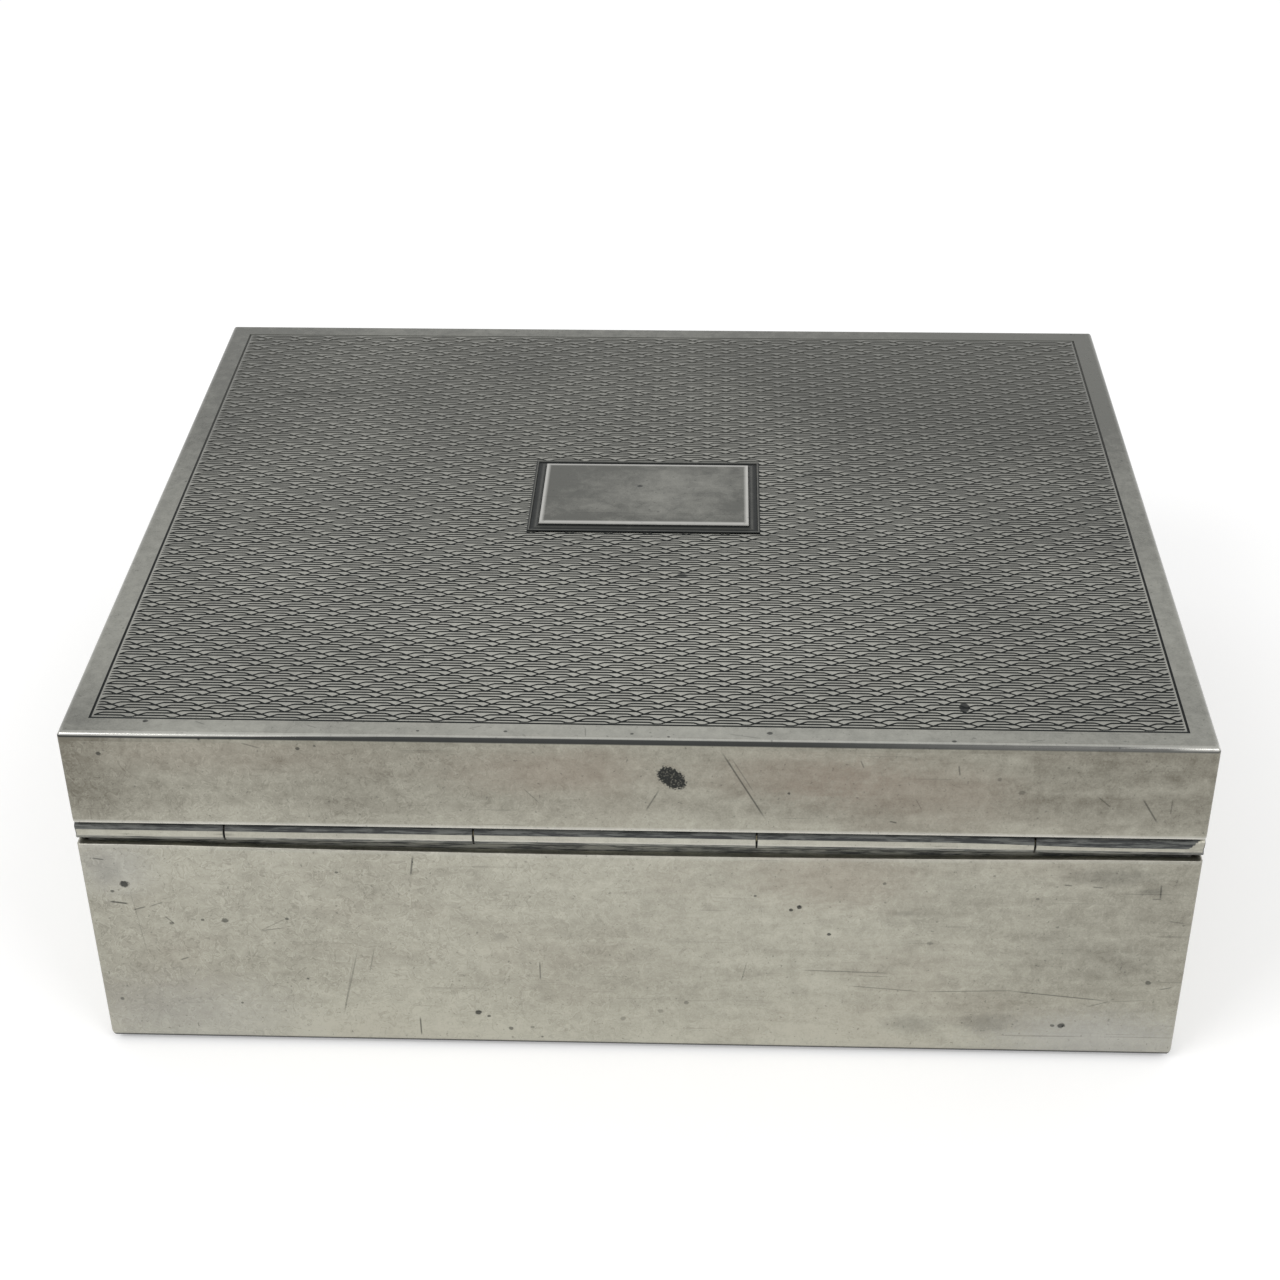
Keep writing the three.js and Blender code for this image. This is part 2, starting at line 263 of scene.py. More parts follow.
class Surface:
    """Vertices, faces and two values per vertex of one piece, gathered patch by patch.

    wear says how far handling keeps a place bright, and oxide how far a hollow is dark. On some
    pieces they also carry painted highlights and painted shade.
    """

    def __init__(self):
        self.points = []
        self.faces = []
        self.wear = []
        self.oxide = []
        self.count = 0

    def add(self, points, wear=0.0, oxide=0.0):
        """Keeps an array of points with their values and returns the indices in its shape."""
        shape = points.shape[:-1]
        index = self.count + np.arange(np.prod(shape)).reshape(shape)
        self.points.append(points.reshape(-1, 3))
        self.wear.append(np.broadcast_to(wear, shape).ravel())
        self.oxide.append(np.broadcast_to(oxide, shape).ravel())
        self.count += index.size
        return index

    def skin(self, index, around=True, closed=False):
        """Quads between neighbouring rows and columns, joined around the columns or over the rows."""
        if around:
            index = np.hstack([index, index[:, :1]])
        if closed:
            index = np.vstack([index, index[:1]])
        quads = np.stack([index[:-1, :-1], index[:-1, 1:], index[1:, 1:], index[1:, :-1]], axis=-1)
        self.faces += quads.reshape(-1, 4).tolist()

    def cap(self, ring, turned=False):
        """One flat face on a ring of vertices."""
        self.faces.append(ring[::-1].tolist() if turned else ring.tolist())

    def loft(self, rows, wear=0.0, oxide=0.0):
        """A solid: rings joined row by row, with a flat face on the first and on the last one."""
        index = self.add(np.asarray(rows), wear, oxide)
        self.skin(index)
        self.cap(index[0], turned=True)
        self.cap(index[-1])
        return self

    def hoop(self, rows, wear=0.0, oxide=0.0):
        """A solid with a hole: rings joined row by row, and the last one with the first."""
        self.skin(self.add(np.asarray(rows), wear, oxide), closed=True)
        return self

    def outward(self, points):
        """The faces, turned round where the closed surface's signed volume is negative."""
        volume = 0.0
        for size in {len(face) for face in self.faces}:
            rings = points[np.array([face for face in self.faces if len(face) == size])]
            fans = np.cross(rings[:, 1:-1], rings[:, 2:])
            volume += np.einsum("fk,fsk->", rings[:, 0], fans)
        return self.faces if volume > 0 else [face[::-1] for face in self.faces]

    def piece(self, name, finish, body, slot, *nodes):
        """Makes the Blender object, which rides on a body and stands for the named nodes."""
        points = np.concatenate(self.points)
        mesh = bpy.data.meshes.new(name)
        mesh.from_pydata(points.tolist(), [], self.outward(points))
        for label, values in (("wear", self.wear), ("oxide", self.oxide)):
            attribute = mesh.attributes.new(label, "FLOAT", "POINT")
            attribute.data.foreach_set("value", np.concatenate(values).astype(np.float32))
        mesh.polygons.foreach_set("use_smooth", np.ones(len(mesh.polygons), bool))
        mesh.set_sharp_from_angle(angle=SHARP_ANGLE)
        mesh.materials.append(finish)
        mesh.update()
        obj = bpy.data.objects.new(name, mesh)
        bpy.context.scene.collection.objects.link(obj)
        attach(obj, body)
        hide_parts(*nodes)
        return obj


def smooth_step(values, low, high):
    """0 below low, 1 above high and a smooth rise between them."""
    t = np.clip((values - low) / (high - low), 0, 1)
    return t * t * (3 - 2 * t)


def place_points(x, y, z):
    """Points from three arrays of measures, spread to one shape."""
    return np.stack(np.broadcast_arrays(x, y, z), axis=-1)


def level(plan, height):
    """Plan points lifted to a height, which may differ from point to point."""
    return place_points(plan[..., 0], plan[..., 1], height)


def rectangle_ring(half_x, half_y, radius, centre=(0, 0), side_marks=()):
    """A rectangle with round corners, as points round the outline from its front right side.

    The straight sides are divided evenly, and the two sides along Y also at side_marks, which
    are shares of the half length. Each corner is a quarter circle about its own centre.
    """
    reach_x, reach_y = half_x - radius, half_y - radius
    even = np.linspace(-1, 1, SIDE_STEPS + 1)[1:-1]
    along_x = even * reach_x
    along_y = np.sort(np.concatenate([even, side_marks])) * reach_y
    turn = np.linspace(0, math.pi / 2, ARC_STEPS + 1)

    def corner(sign_x, sign_y, start):
        angle = start + turn
        return np.column_stack(
            [sign_x * reach_x + radius * np.cos(angle), sign_y * reach_y + radius * np.sin(angle)]
        )

    def side(x, y):
        return np.column_stack(np.broadcast_arrays(x, y))

    ring = [
        side(half_x, along_y), corner(1, 1, 0),
        side(along_x[::-1], half_y), corner(-1, 1, math.pi / 2),
        side(-half_x, along_y[::-1]), corner(-1, -1, math.pi),
        side(along_x, -half_y), corner(1, -1, 1.5 * math.pi),
    ]
    return np.concatenate(ring) + np.array(centre)


def box_ring(settings, inset):
    """The box's outline drawn in by an inset, with extra points where the joint's channel ends."""
    radius = max(settings.shell.corner_radius - inset, SHARP_RADIUS)
    reach = HALF_DEPTH - inset - radius
    turn = np.linspace(0, math.pi / 2, EDGE_STEPS)
    marks = (HINGE_Y - settings.joint.channel * np.cos(turn)) / max(reach, HINGE_Y + SHARP_RADIUS)
    return rectangle_ring(HALF_WIDTH - inset, HALF_DEPTH - inset, radius, side_marks=marks)


def rim_height(settings, ring, side):
    """Height of a rim over each point of a ring: half the gap from the joint's level, and over the
    channel the half round's own height, sqrt(R^2 - d^2) at a distance d in front of the axis. The
    body's back edge is worn lower by a bow, 1 - (x / reach)^2."""
    radius = settings.joint.channel
    ahead = np.clip(HINGE_Y - ring[:, 1], 0, radius)
    rise = np.maximum(np.sqrt(radius**2 - ahead**2), settings.shell.rim_gap / 2)
    if side < 0:
        bow = 1 - (ring[:, 0] / settings.joint.sag_reach) ** 2
        rise = rise + settings.joint.sag * np.clip(bow, 0, 1) * (ring[:, 1] > 0)
    return HINGE_Z + side * rise


def quarter(radius, steps=EDGE_STEPS):
    """Insets and drops of a quarter round, from its upright end to its level end."""
    angle = np.linspace(0, math.pi / 2, steps + 1)
    return radius * (1 - np.cos(angle)), radius * (1 - np.sin(angle))


def circles(radii, steps):
    """Angles round the joint's axis, and Y and Z of circles of some radii about it."""
    angle = np.linspace(0, 2 * math.pi, steps, endpoint=False)
    return angle, HINGE_Y + radii[:, None] * np.cos(angle), HINGE_Z + radii[:, None] * np.sin(angle)


def board(settings, node):
    """A flat board with the box's own round corners and chamfered edges."""
    low, high = corners(node)
    inset = HALF_WIDTH - high[0]
    edge = settings.lining.edge
    steps = ((edge, low[2]), (0, low[2] + edge), (0, high[2] - edge), (edge, high[2]))
    return Surface().loft([level(box_ring(settings, inset + extra), height) for extra, height in steps])


def rim_rows(settings, side):
    """Rows over a rim from its outer face to its inner face, both edges a quarter round."""
    shell = settings.shell
    insets, drops = quarter(shell.rim_round, 4)
    insets = np.concatenate([insets, shell.wall - insets[::-1]])
    drops = np.concatenate([drops, drops[::-1]])
    rings = [box_ring(settings, inset) for inset in insets]
    return [
        level(ring, rim_height(settings, ring, side) + side * drop)
        for ring, drop in zip(rings, drops)
    ]


# Materials


class Value:
    """A shader socket that takes part in Python expressions by adding Math nodes."""

    def __init__(self, sheet, socket):
        self.sheet = sheet
        self.socket = socket

    def math(self, operation, *others):
        values = dict(enumerate((self, *others)))
        return self.sheet.node("Math", values, {"operation": operation})

    def __add__(self, other):
        return self.math("ADD", other)

    def __sub__(self, other):
        return self.math("SUBTRACT", other)

    def __mul__(self, other):
        return self.math("MULTIPLY", other)

    def __rsub__(self, other):
        return self.sheet.node("Math", {0: other, 1: self}, {"operation": "SUBTRACT"})

    def __abs__(self):
        return self.math("ABSOLUTE")

    __radd__ = __add__
    __rmul__ = __mul__

    def rise(self, low, high):
        """0 at low and 1 at high with a smooth rise; low above high gives a fall."""
        sockets = {"Value": self, "From Min": low, "From Max": high}
        return self.sheet.node("MapRange", sockets, {"interpolation_type": "SMOOTHSTEP"})

    def at_most(self, other):
        return self.math("MINIMUM", other)

    def at_least(self, other):
        return self.math("MAXIMUM", other)


class NodeSheet:
    """The nodes of one material or of the world."""

    def __init__(self, tree):
        self.tree = tree
        tree.nodes.clear()

    def node(self, kind, sockets=None, settings=None, output=0):
        """A node of a kind with its settings, then the values or links of its sockets."""
        made = self.tree.nodes.new("ShaderNode" + kind)
        for name, value in (settings or {}).items():
            setattr(made, name, value)
        for name, value in (sockets or {}).items():
            if isinstance(value, Value):
                self.tree.links.new(value.socket, made.inputs[name])
            else:
                made.inputs[name].default_value = value
        return Value(self, made.outputs[output]) if made.outputs else made

    def blend(self, first, second, factor):
        """A colour between two colours."""
        sockets = {0: factor, 6: rgba(first), 7: rgba(second)}
        return self.node("Mix", sockets, {"data_type": "RGBA"}, 2)

    def place(self, scale=(1, 1, 1), turn=(0, 0, 0), shift=(0, 0, 0), source=None):
        """The piece's own place in millimetres, or another vector, scaled, turned and shifted."""
        vector = source or self.millimetres
        return self.node("Mapping", {"Vector": vector, "Scale": scale, "Rotation": turn, "Location": shift})

    @property
    def millimetres(self):
        coordinates = self.node("TexCoord", output="Object")
        return self.node("Mapping", {"Vector": coordinates, "Scale": (1 / MM,) * 3})

    def axes(self, vector=None):
        split = self.node("SeparateXYZ", {0: vector or self.millimetres})
        outputs = split.socket.node.outputs
        return [Value(self, outputs[name]) for name in "XYZ"]

    def plane(self, first, second):
        """A place on a plane, from its two measures."""
        return self.node("CombineXYZ", {"X": first, "Y": second})

    def noise(self, vector, scale, detail=3.0, roughness=0.55, distortion=0.0):
        sockets = {
            "Vector": vector, "Scale": scale, "Detail": detail,
            "Roughness": roughness, "Distortion": distortion,
        }
        return self.node("TexNoise", sockets)

    def vector(self, operation, *vectors):
        """Vector maths; a length or a product of two vectors comes out as a number."""
        output = "Value" if operation in ("LENGTH", "DOT_PRODUCT") else "Vector"
        return self.node("VectorMath", dict(enumerate(vectors)), {"operation": operation}, output)

    def attribute(self, name):
        return self.node("Attribute", settings={"attribute_name": name}, output="Fac")

    def bump(self, height, distance, strength=1.0):
        """Height from 0 to 1 over a distance in metres, as a normal."""
        return self.node("Bump", {"Height": height, "Distance": distance, "Strength": strength})

    def seen(self):
        """1 for what the camera, a reflection or a clear piece shows, 0 for the light on the rest."""
        rays = self.node("LightPath").socket.node.outputs
        camera, glossy, clear = (
            Value(self, rays[f"Is {kind} Ray"]) for kind in ("Camera", "Glossy", "Transmission")
        )
        return (camera + glossy + clear).at_most(1.0)

    def surface(self, **sockets):
        """The shader and the material's output, sockets named with _ for a space."""
        named = {name.replace("_", " "): value for name, value in sockets.items()}
        shader = self.node("BsdfPrincipled", named)
        self.node("OutputMaterial", {"Surface": shader})


def rgba(value):
    return value if isinstance(value, Value) else (*value, 1.0)


def dimmed(tint, part):
    """A share of a colour."""
    return tuple(part * channel for channel in tint)


def finish(name, paint, settings):
    """The named material, painted once and then shared."""
    material = bpy.data.materials.get(name)
    if material is None:
        material = bpy.data.materials.new(name)
        material.use_nodes = True
        paint(NodeSheet(material.node_tree), settings)
    return material


def mark_place(sheet, plane, place, reach):
    """A place on a plane as a mark sees it: measured from the mark in the mark's own reach."""
    away = sheet.vector("SUBTRACT", plane, (*place, 0))
    return sheet.vector("DIVIDE", away, (*reach, 1))


def spot(sheet, plane, place, radii, ragged=0.0, soft=0.25):
    """1 inside an ellipse about a place in millimetres, with a soft edge that a value makes ragged."""
    away = sheet.vector("LENGTH", mark_place(sheet, plane, place, radii))
    return (away + ragged).rise(1.0 + soft, 1.0 - soft)


def spots(sheet, plane, table, ragged=0.0, soft=0.25):
    """All spots of a table, which gives each one's place, radii and depth."""
    return sum(spot(sheet, plane, place, radii, ragged, soft) * depth for place, radii, depth in table)


def uneven_edge(sheet):
    """Noise about 0 that makes the edges of spots ragged."""
    return (sheet.noise(sheet.millimetres, 2.2, 3.0) - 0.5) * 1.1


def stroke(sheet, plane, start, end, width):
    """1 on a straight scratch between two places in millimetres, thin towards its ends."""
    du, dv = end[0] - start[0], end[1] - start[1]
    reach = math.hypot(du, dv)
    away = sheet.vector("SUBTRACT", plane, (*start, 0))
    along = sheet.vector("DOT_PRODUCT", away, (du / reach**2, dv / reach**2, 0))
    across = sheet.vector("DOT_PRODUCT", away, (dv / reach / width, -du / reach / width, 0))
    return abs(across).rise(1.0, 0.2) * along.rise(0.0, 0.25) * along.rise(1.0, 0.8)


def hairlines(sheet, plane, angle, scale, threshold):
    """Fine scratches: noise drawn out along one direction, kept where it is highest."""
    streaks = sheet.place((0.035, 3.2, 1), (0, 0, angle), source=plane)
    breaks = sheet.place((0.09, 0.2, 1), (0, 0, angle), (17, 5, 3), source=plane)
    lines = sheet.noise(streaks, scale, 2.0).rise(threshold, threshold + 0.05)
    return lines * sheet.noise(breaks, 1.0, 2.0).rise(0.5, 0.62)


def worn(sheet, settings, metal, plane, tone, marks, stains=(), rough=0.4, hollow=None, dirt=0.0):
    """Worn silver between a tarnished and a clean colour. tone is the share of the clean one, to
    which clouds, an uneven skin and grain are added. marks are dark marks, and stains are colours
    with their shares. Hollows have the hollow colour and may hold dirt, which is no metal, and
    handled edges are bright and smooth. Where pieces lay painted shade on as oxide and painted
    highlights on as wear, these take the same colours."""
    colours = settings.colours
    hollow = hollow or colours.oxide
    cloud = sheet.noise(sheet.place((0.05,) * 3), 1.0, 4.0, 0.6)
    skin = sheet.noise(sheet.place((0.8,) * 3), 1.0, 4.0, 0.62, 0.6)
    grain = sheet.noise(sheet.place((6, 6, 6)), 1.0, 2.0)
    tone = tone + (cloud - 0.5) * 0.65 + (skin - 0.5) * 0.65 + (grain - 0.5) * 0.4
    cells = sheet.node("TexVoronoi", {"Vector": sheet.place((0.3,) * 3), "Scale": 1.0, "Randomness": 1.0})
    pick = sheet.noise(sheet.place((0.3,) * 3, shift=(5, 2, 8)), 1.0, 1.0)
    speck = cells.rise(0.06, 0.015) * pick.rise(0.54, 0.6)
    pits = sheet.noise(sheet.place((2.4,) * 3), 1.0, 2.0).rise(0.65, 0.76)
    lines = hairlines(sheet, plane, 1.1, 1.0, 0.65) + hairlines(sheet, plane, -0.5, 1.3, 0.66)
    wear = sheet.attribute("wear")
    oxide = sheet.attribute("oxide").rise(0.03, 0.3)
    dark = (speck * 0.7 + pits * 0.35 + lines * 0.25 + marks).at_most(0.95)
    base = sheet.blend(metal[0], metal[1], tone)
    for stain, part in stains:
        base = sheet.blend(base, stain, part)
    base = sheet.blend(base, colours.bright, wear * 0.9)
    base = sheet.blend(base, colours.oxide, dark)
    base = sheet.blend(base, hollow, oxide)
    uneven = (cloud - 0.5) * 0.14 + (skin - 0.5) * 0.12 + dark * 0.15 + oxide * 0.15
    height = (skin * 0.6 + grain * 0.08) * (1.0 - wear * 2.0).at_least(0.0)
    sheet.surface(
        Base_Color=base, Metallic=1.0 - oxide * dirt if dirt else 1.0,
        Roughness=(rough + uneven - wear * 0.34).at_least(0.09),
        Normal=sheet.bump(height, 0.045 * MM, 0.55),
    )


# Marks on the back wall in millimetres, as X and Z: dots, smudges, brown stains, grey films, scratches
WALL_DOTS = (
    ((50.0, 20.8), 0.45, 0.85), ((51.3, 19.9), 0.2, 0.6), ((42.8, 16.4), 0.16, 0.6),
    ((40.6, 16.4), 0.33, 0.6), ((45.9, 15.9), 0.2, 0.5), ((34.4, 16.7), 0.2, 0.6),
    ((33.0, 8.9), 0.16, 0.6), ((29.0, 22.7), 0.17, 0.6), ((40.0, 5.5), 0.13, 0.6),
    ((52.2, 5.8), 0.22, 0.5), ((16.0, 4.8), 0.32, 0.8), ((15.0, 4.3), 0.16, 0.7),
    ((12.8, 2.7), 0.26, 0.6), ((-15.9, 19.3), 0.26, 0.85), ((-15.1, 18.9), 0.2, 0.8),
    ((-18.9, 15.9), 0.2, 0.8), ((-42.6, 4.4), 0.36, 0.75), ((-41.7, 4.4), 0.2, 0.6),
    ((-50.6, 10.3), 0.3, 0.6), ((-24.0, 22.4), 0.17, 0.5), ((-38.8, 20.8), 0.2, 0.4),
    ((-28.8, 15.0), 0.3, 0.3), ((-14.5, 33.1), 0.16, 0.7), ((50.3, 36.6), 0.24, 0.7),
    ((-36.2, 33.6), 0.3, 0.35), ((-34.0, 35.1), 0.22, 0.35), ((31.4, 37.5), 0.2, 0.7),
    ((29.8, 37.8), 0.15, 0.5), ((-5.0, 6.6), 0.24, 0.4), ((-2.4, 5.4), 0.3, 0.3), ((1.4, 4.3), 0.3, 0.3),
    ((-11.6, 20.6), 0.14, 0.6), ((10.6, 2.9), 0.2, 0.4),
)
WALL_SMUDGES = (
    ((-27.8, 4.2), (2.6, 1.1), 0.24), ((-34.9, 4.6), (2.6, 1.0), 0.24), ((-45.5, 23.7), (3.4, 0.9), 0.26),
    ((-49.5, 21.9), (1.0, 0.35), 0.3), ((51.8, 22.6), (1.4, 1.8), 0.13), ((-26.3, 18.7), (0.9, 0.3), 0.2),
    ((-41.3, 15.4), (2.6, 1.8), 0.08), ((-47, 12.6), (3.5, 2.2), 0.08), ((50, 4.5), (6, 2.5), 0.07),
    ((13.3, 14.8), (0.6, 0.5), 0.2),
)
WALL_STAINS = (
    ((8.0, 35.2), (8.0, 2.2), 0.3), ((-15.5, 35.2), (7.0, 2.4), 0.3), ((-26.0, 33.4), (8.0, 3.0), 0.3),
    ((-19.5, 22.6), (6.5, 3.0), 0.28), ((37, 36.5), (12, 2.0), 0.14),
)
WALL_FILMS = (
    ((46.0, 3.6), (10.0, 4.5), 0.3), ((-46.0, 2.6), (9.0, 3.0), 0.5), ((51.0, 23.0), (3.5, 3.0), 0.35),
)
WALL_SCRATCHES = (
    ((-7.8, 38.4), (-12.6, 29.6), 0.13, 0.6), ((-8.9, 37.4), (-11.3, 33.0), 0.09, 0.3),
    ((-2.4, 33.4), (-1.0, 30.7), 0.12, 0.45), ((-47.3, 33.3), (-49.2, 30.1), 0.13, 0.55),
    ((-43.2, 33.3), (-44.6, 32.0), 0.1, 0.4), ((-50.2, 33.2), (-50.2, 31.2), 0.1, 0.4),
    ((-21.0, 37.1), (-21.4, 36.1), 0.1, 0.45), ((-30.1, 36.7), (-30.3, 35.4), 0.12, 0.5),
    ((-26.3, 32.8), (-27.0, 31.4), 0.08, 0.3), ((-24.0, 30.0), (-24.8, 29.8), 0.13, 0.6),
    ((51.9, 18.6), (49.8, 18.3), 0.16, 0.75), ((49.6, 20.6), (48.8, 11.6), 0.09, 0.2),
    ((37.3, 15.1), (34.4, 15.6), 0.1, 0.4), ((37.2, 15.1), (34.4, 16.8), 0.09, 0.3),
    ((27.6, 13.2), (29.9, 3.6), 0.12, 0.32), ((28.0, 12.6), (29.6, 5.0), 0.08, 0.2),
    ((26.0, 13.2), (26.7, 9.8), 0.09, 0.3), ((21.4, 25.1), (21.8, 22.3), 0.14, 0.6),
    ((22.0, 4.2), (22.0, 1.4), 0.12, 0.65), ((-15.7, 11.2), (-25.3, 11.0), 0.1, 0.42),
    ((-21.5, 10.6), (-25.3, 10.5), 0.08, 0.3), ((-20.3, 9.3), (-28.6, 8.6), 0.09, 0.4),
    ((-28.0, 8.6), (-38.0, 9.0), 0.09, 0.4), ((-36.4, 9.0), (-47.1, 7.8), 0.11, 0.5),
    ((-44.7, 6.9), (-47.1, 7.8), 0.09, 0.35), ((-46.6, 7.7), (-51.0, 8.0), 0.08, 0.25),
    ((-50.4, 22.9), (-50.5, 20.9), 0.13, 0.5), ((-50.7, 21.0), (-49.7, 21.0), 0.12, 0.4),
    ((37.8, 38.4), (34.7, 37.4), 0.1, 0.4), ((10.6, 33.4), (8.8, 31.3), 0.09, 0.3),
    ((9.6, 11.9), (9.6, 9.2), 0.11, 0.5), ((-11.0, 12.4), (-10.4, 9.4), 0.09, 0.3),
    ((52.8, 24.0), (51.5, 23.8), 0.13, 0.5), ((49.6, 17.5), (48.2, 18.0), 0.13, 0.5),
    ((47.9, 18.0), (46.4, 18.6), 0.12, 0.4), ((46.6, 16.9), (45.6, 15.8), 0.1, 0.45),
    ((45.7, 11.1), (44.7, 11.5), 0.13, 0.5), ((-41.1, 22.6), (-42.0, 22.5), 0.13, 0.5),
    ((-43.8, 22.4), (-45.0, 22.3), 0.13, 0.45), ((-51.5, 18.3), (-53.3, 18.0), 0.1, 0.35),
    ((-51.7, 9.4), (-53.1, 9.8), 0.11, 0.45),
)


def paint_walls(sheet, settings):
    """Plain worn walls, darker towards -X and on the lid, whose rim is lighter, and lighter towards
    the foot with painted light. They have a wrinkled skin, strongest towards +X and drawn as
    painted light and shade along its folds, and level streaks towards -X. The marks, brown stains
    and grey films are those of the joint side."""
    x, y, z = sheet.axes()
    wall = sheet.plane(x, z)
    back = y.rise(HALF_DEPTH / MM - 0.3, HALF_DEPTH / MM - 0.1)
    ragged = uneven_edge(sheet)
    fine = (sheet.noise(sheet.millimetres, 5.0, 2.0) - 0.5) * 1.3
    place = (-3.5, 34.7)
    turned = {"Vector": wall, "Center": (*place, 0), "Angle": 2.4}
    turned = sheet.node("VectorRotate", turned, {"rotation_type": "Z_AXIS"})
    marks = spot(sheet, turned, place, (1.5, 1.0), fine * 0.6, 0.12)
    marks = marks * (0.95 - fine.rise(0.0, 0.25) * 0.4)
    dots = [(place, (radius, radius * 0.85), depth) for place, radius, depth in WALL_DOTS]
    marks = marks + spots(sheet, wall, dots, ragged + fine * 0.5)
    marks = marks + spots(sheet, wall, WALL_SMUDGES, ragged, soft=0.75)
    for start, end, width, depth in WALL_SCRATCHES:
        marks = marks + stroke(sheet, wall, start, end, width) * depth
    skin = sheet.noise(sheet.place((0.75, 0.75, 0.68)), 1.0, 3.0, 0.5, 1.2)
    # Painted light and shade of the skin's folds: each contour of the noise gets a light strip on one side
    # and a dark one on the other, like wrinkles in relief
    fold_light_and_shade = ((skin - 0.5) * 20.0).at_most(1.0).at_least(-1.0)
    lid = z.rise(26.9, 27.4)
    fold_light_and_shade = fold_light_and_shade * (1.0 - abs(fold_light_and_shade)) * (0.3 + x.rise(-15.0, 25.0) * 0.35) * (1.0 - lid * 0.3)
    streak = sheet.noise(sheet.place((0.11, 0.11, 0.6), shift=(3, 7, 1)), 1.0, 4.0, 0.6, 0.4) - 0.5
    tone = 0.75 - x.rise(-16.0, -54.0) * (0.25 - lid * 0.1) - x.rise(28.0, 50.0) * (0.1 - lid * 0.1) + fold_light_and_shade
    tone = tone - lid * (0.33 - z.rise(32.0, 28.4) * 0.2 + x.rise(42.0, 54.0) * 0.24)
    # Painted light: the walls grow lighter towards the foot, against the box's own shade that they reflect
    # from the floor
    tone = tone + z.rise(9.0, 1.5) * 0.2 + streak * (0.35 + x.rise(10.0, -25.0) * 0.25)
    halo = spot(sheet, wall, (50.0, 20.8), (1.5, 1.3)) + spot(sheet, wall, (-18.9, 15.9), (0.9, 0.8))
    brown = sheet.noise(sheet.place((0.05, 0.05, 0.09), shift=(41, 9, 3)), 1.0, 3.0).rise(0.5, 0.72) * 0.1
    brown = brown + spots(sheet, wall, WALL_STAINS, ragged + streak, soft=0.85) * back
    film = spots(sheet, wall, WALL_FILMS, ragged, soft=0.85) * back
    colours = settings.colours
    metal = colours.tarnish, colours.silver
    stains = (colours.brown, brown), (colours.grey, film)
    worn(sheet, settings, metal, sheet.plane(x + y, z), tone + halo * 0.08, marks * back, stains)


# Marks on the lid's top in millimetres, as X and Y: dots, soft smudges and short scratches
LID_DOTS = (
    ((-3.9, 15.0), 0.42), ((-12.6, 42.7), 0.22), ((12.0, 43.0), 0.12), ((46.0, 42.1), 0.2),
    ((20.2, 43.1), 0.12), ((0.2, 43.1), 0.12), ((-3.2, 43.5), 0.12), ((-29.6, 43.6), 0.16),
)
LID_SMUDGES = (
    ((42.5, -25.6), (2.2, 0.9), 0.28), ((37.7, -25.7), (1.8, 0.7), 0.28), ((-18.8, -7), (2.0, 0.8), 0.28),
)
LID_SCRATCHES = (
    ((4.6, 42.1), (4.5, 43.8)), ((15.6, 42.7), (14.2, 42.1)), ((-8.6, 42.9), (-12.0, 43.6)),
    ((30.8, 42.4), (29.6, 42.9)), ((-36.4, 43.5), (-38.2, 43.1)), ((41.4, 42.0), (40.2, 42.6)),
)


def paint_lid(sheet, settings):
    """The lid's top: greyer silver, darker towards -X and at +X, with painted shade that darkens it
    towards the front and a painted highlight in the middle of the joint side. Its edge has the
    walls' silver, and the cuts are paler at the front."""
    x, y, z = sheet.axes()
    plane = sheet.plane(x, y)
    ragged = uneven_edge(sheet)
    marks = spot(sheet, plane, (-31.0, 38.1), (0.5, 0.75), ragged * 0.5, 0.15) * 0.93
    dots = [(place, (radius * 1.3, radius), 0.75) for place, radius in LID_DOTS]
    marks = marks + spots(sheet, plane, dots, ragged)
    for start, end in LID_SCRATCHES:
        marks = marks + stroke(sheet, plane, start, end, 0.1) * 0.35
    marks = marks + spots(sheet, plane, LID_SMUDGES, ragged, 0.5)
    # Painted shade darkens the top towards the front, standing in for a dimmer reflection there
    shade = spot(sheet, plane, (-32, -26), (26, 14), soft=0.6) * 0.16 + y.rise(25.0, -42.0) * 0.55
    shade = shade + spot(sheet, plane, (54, 44), (8, 6), soft=0.9) * 0.3 + x.rise(40.0, 54.0) * 0.1
    # Painted highlight: a soft lighter patch in the middle of the joint side
    shade = shade - spot(sheet, plane, (0, 30), (26, 10), soft=0.9) * 0.18
    colours = settings.colours
    edge = (LID_TOP - settings.shell.top_edge) / MM
    side = z.rise(edge + 0.12, edge + 0.02)
    dull = sheet.blend(colours.lid_tarnish, colours.tarnish, side)
    clean = sheet.blend(colours.lid_silver, colours.silver, side)
    tone = 0.66 - shade - x.rise(-5.0, -50.0) * 0.18 - side * 0.3
    hollow = sheet.blend(colours.oxide, dimmed(colours.lid_tarnish, 0.45), y.rise(18.0, -40.0))
    worn(sheet, settings, (dull, clean), plane, tone, marks, rough=0.3, hollow=hollow)


def paint_cartouche(sheet, settings):
    """A plain tablet, cloudy and darker to one side, dark in the moulding, with two small pits."""
    x, y, _ = sheet.axes()
    plane = sheet.plane(x, y)
    ragged = uneven_edge(sheet)
    cloud = sheet.noise(sheet.place((0.28, 0.36, 1)), 1.0, 4.0, 0.6, 0.8) - 0.5
    marks = spot(sheet, plane, (1.1, -3.0), (0.34, 0.24), ragged) * 0.7
    marks = marks + spot(sheet, plane, (-1.1, 2.6), (0.16, 0.12), ragged) * 0.5
    low, high = (corner / MM for corner in corners("cartouche"))
    middle, half = (low + high)[:2] / 2, (high - low)[:2] / 2 - settings.cartouche.moulding / MM
    along, across, _ = sheet.axes(mark_place(sheet, plane, middle, half))
    shade = abs(along).at_least(abs(across)).rise(0.5, 1.05) * 0.3
    shade = shade + spot(sheet, plane, (8.5, -3.5), (7.0, 6.0), ragged, soft=0.9) * 0.22
    metal = dimmed(settings.colours.lid_tarnish, 0.83), dimmed(settings.colours.lid_silver, 0.85)
    worn(sheet, settings, metal, plane, 0.33 + cloud * 0.8 - shade, marks, rough=0.3)


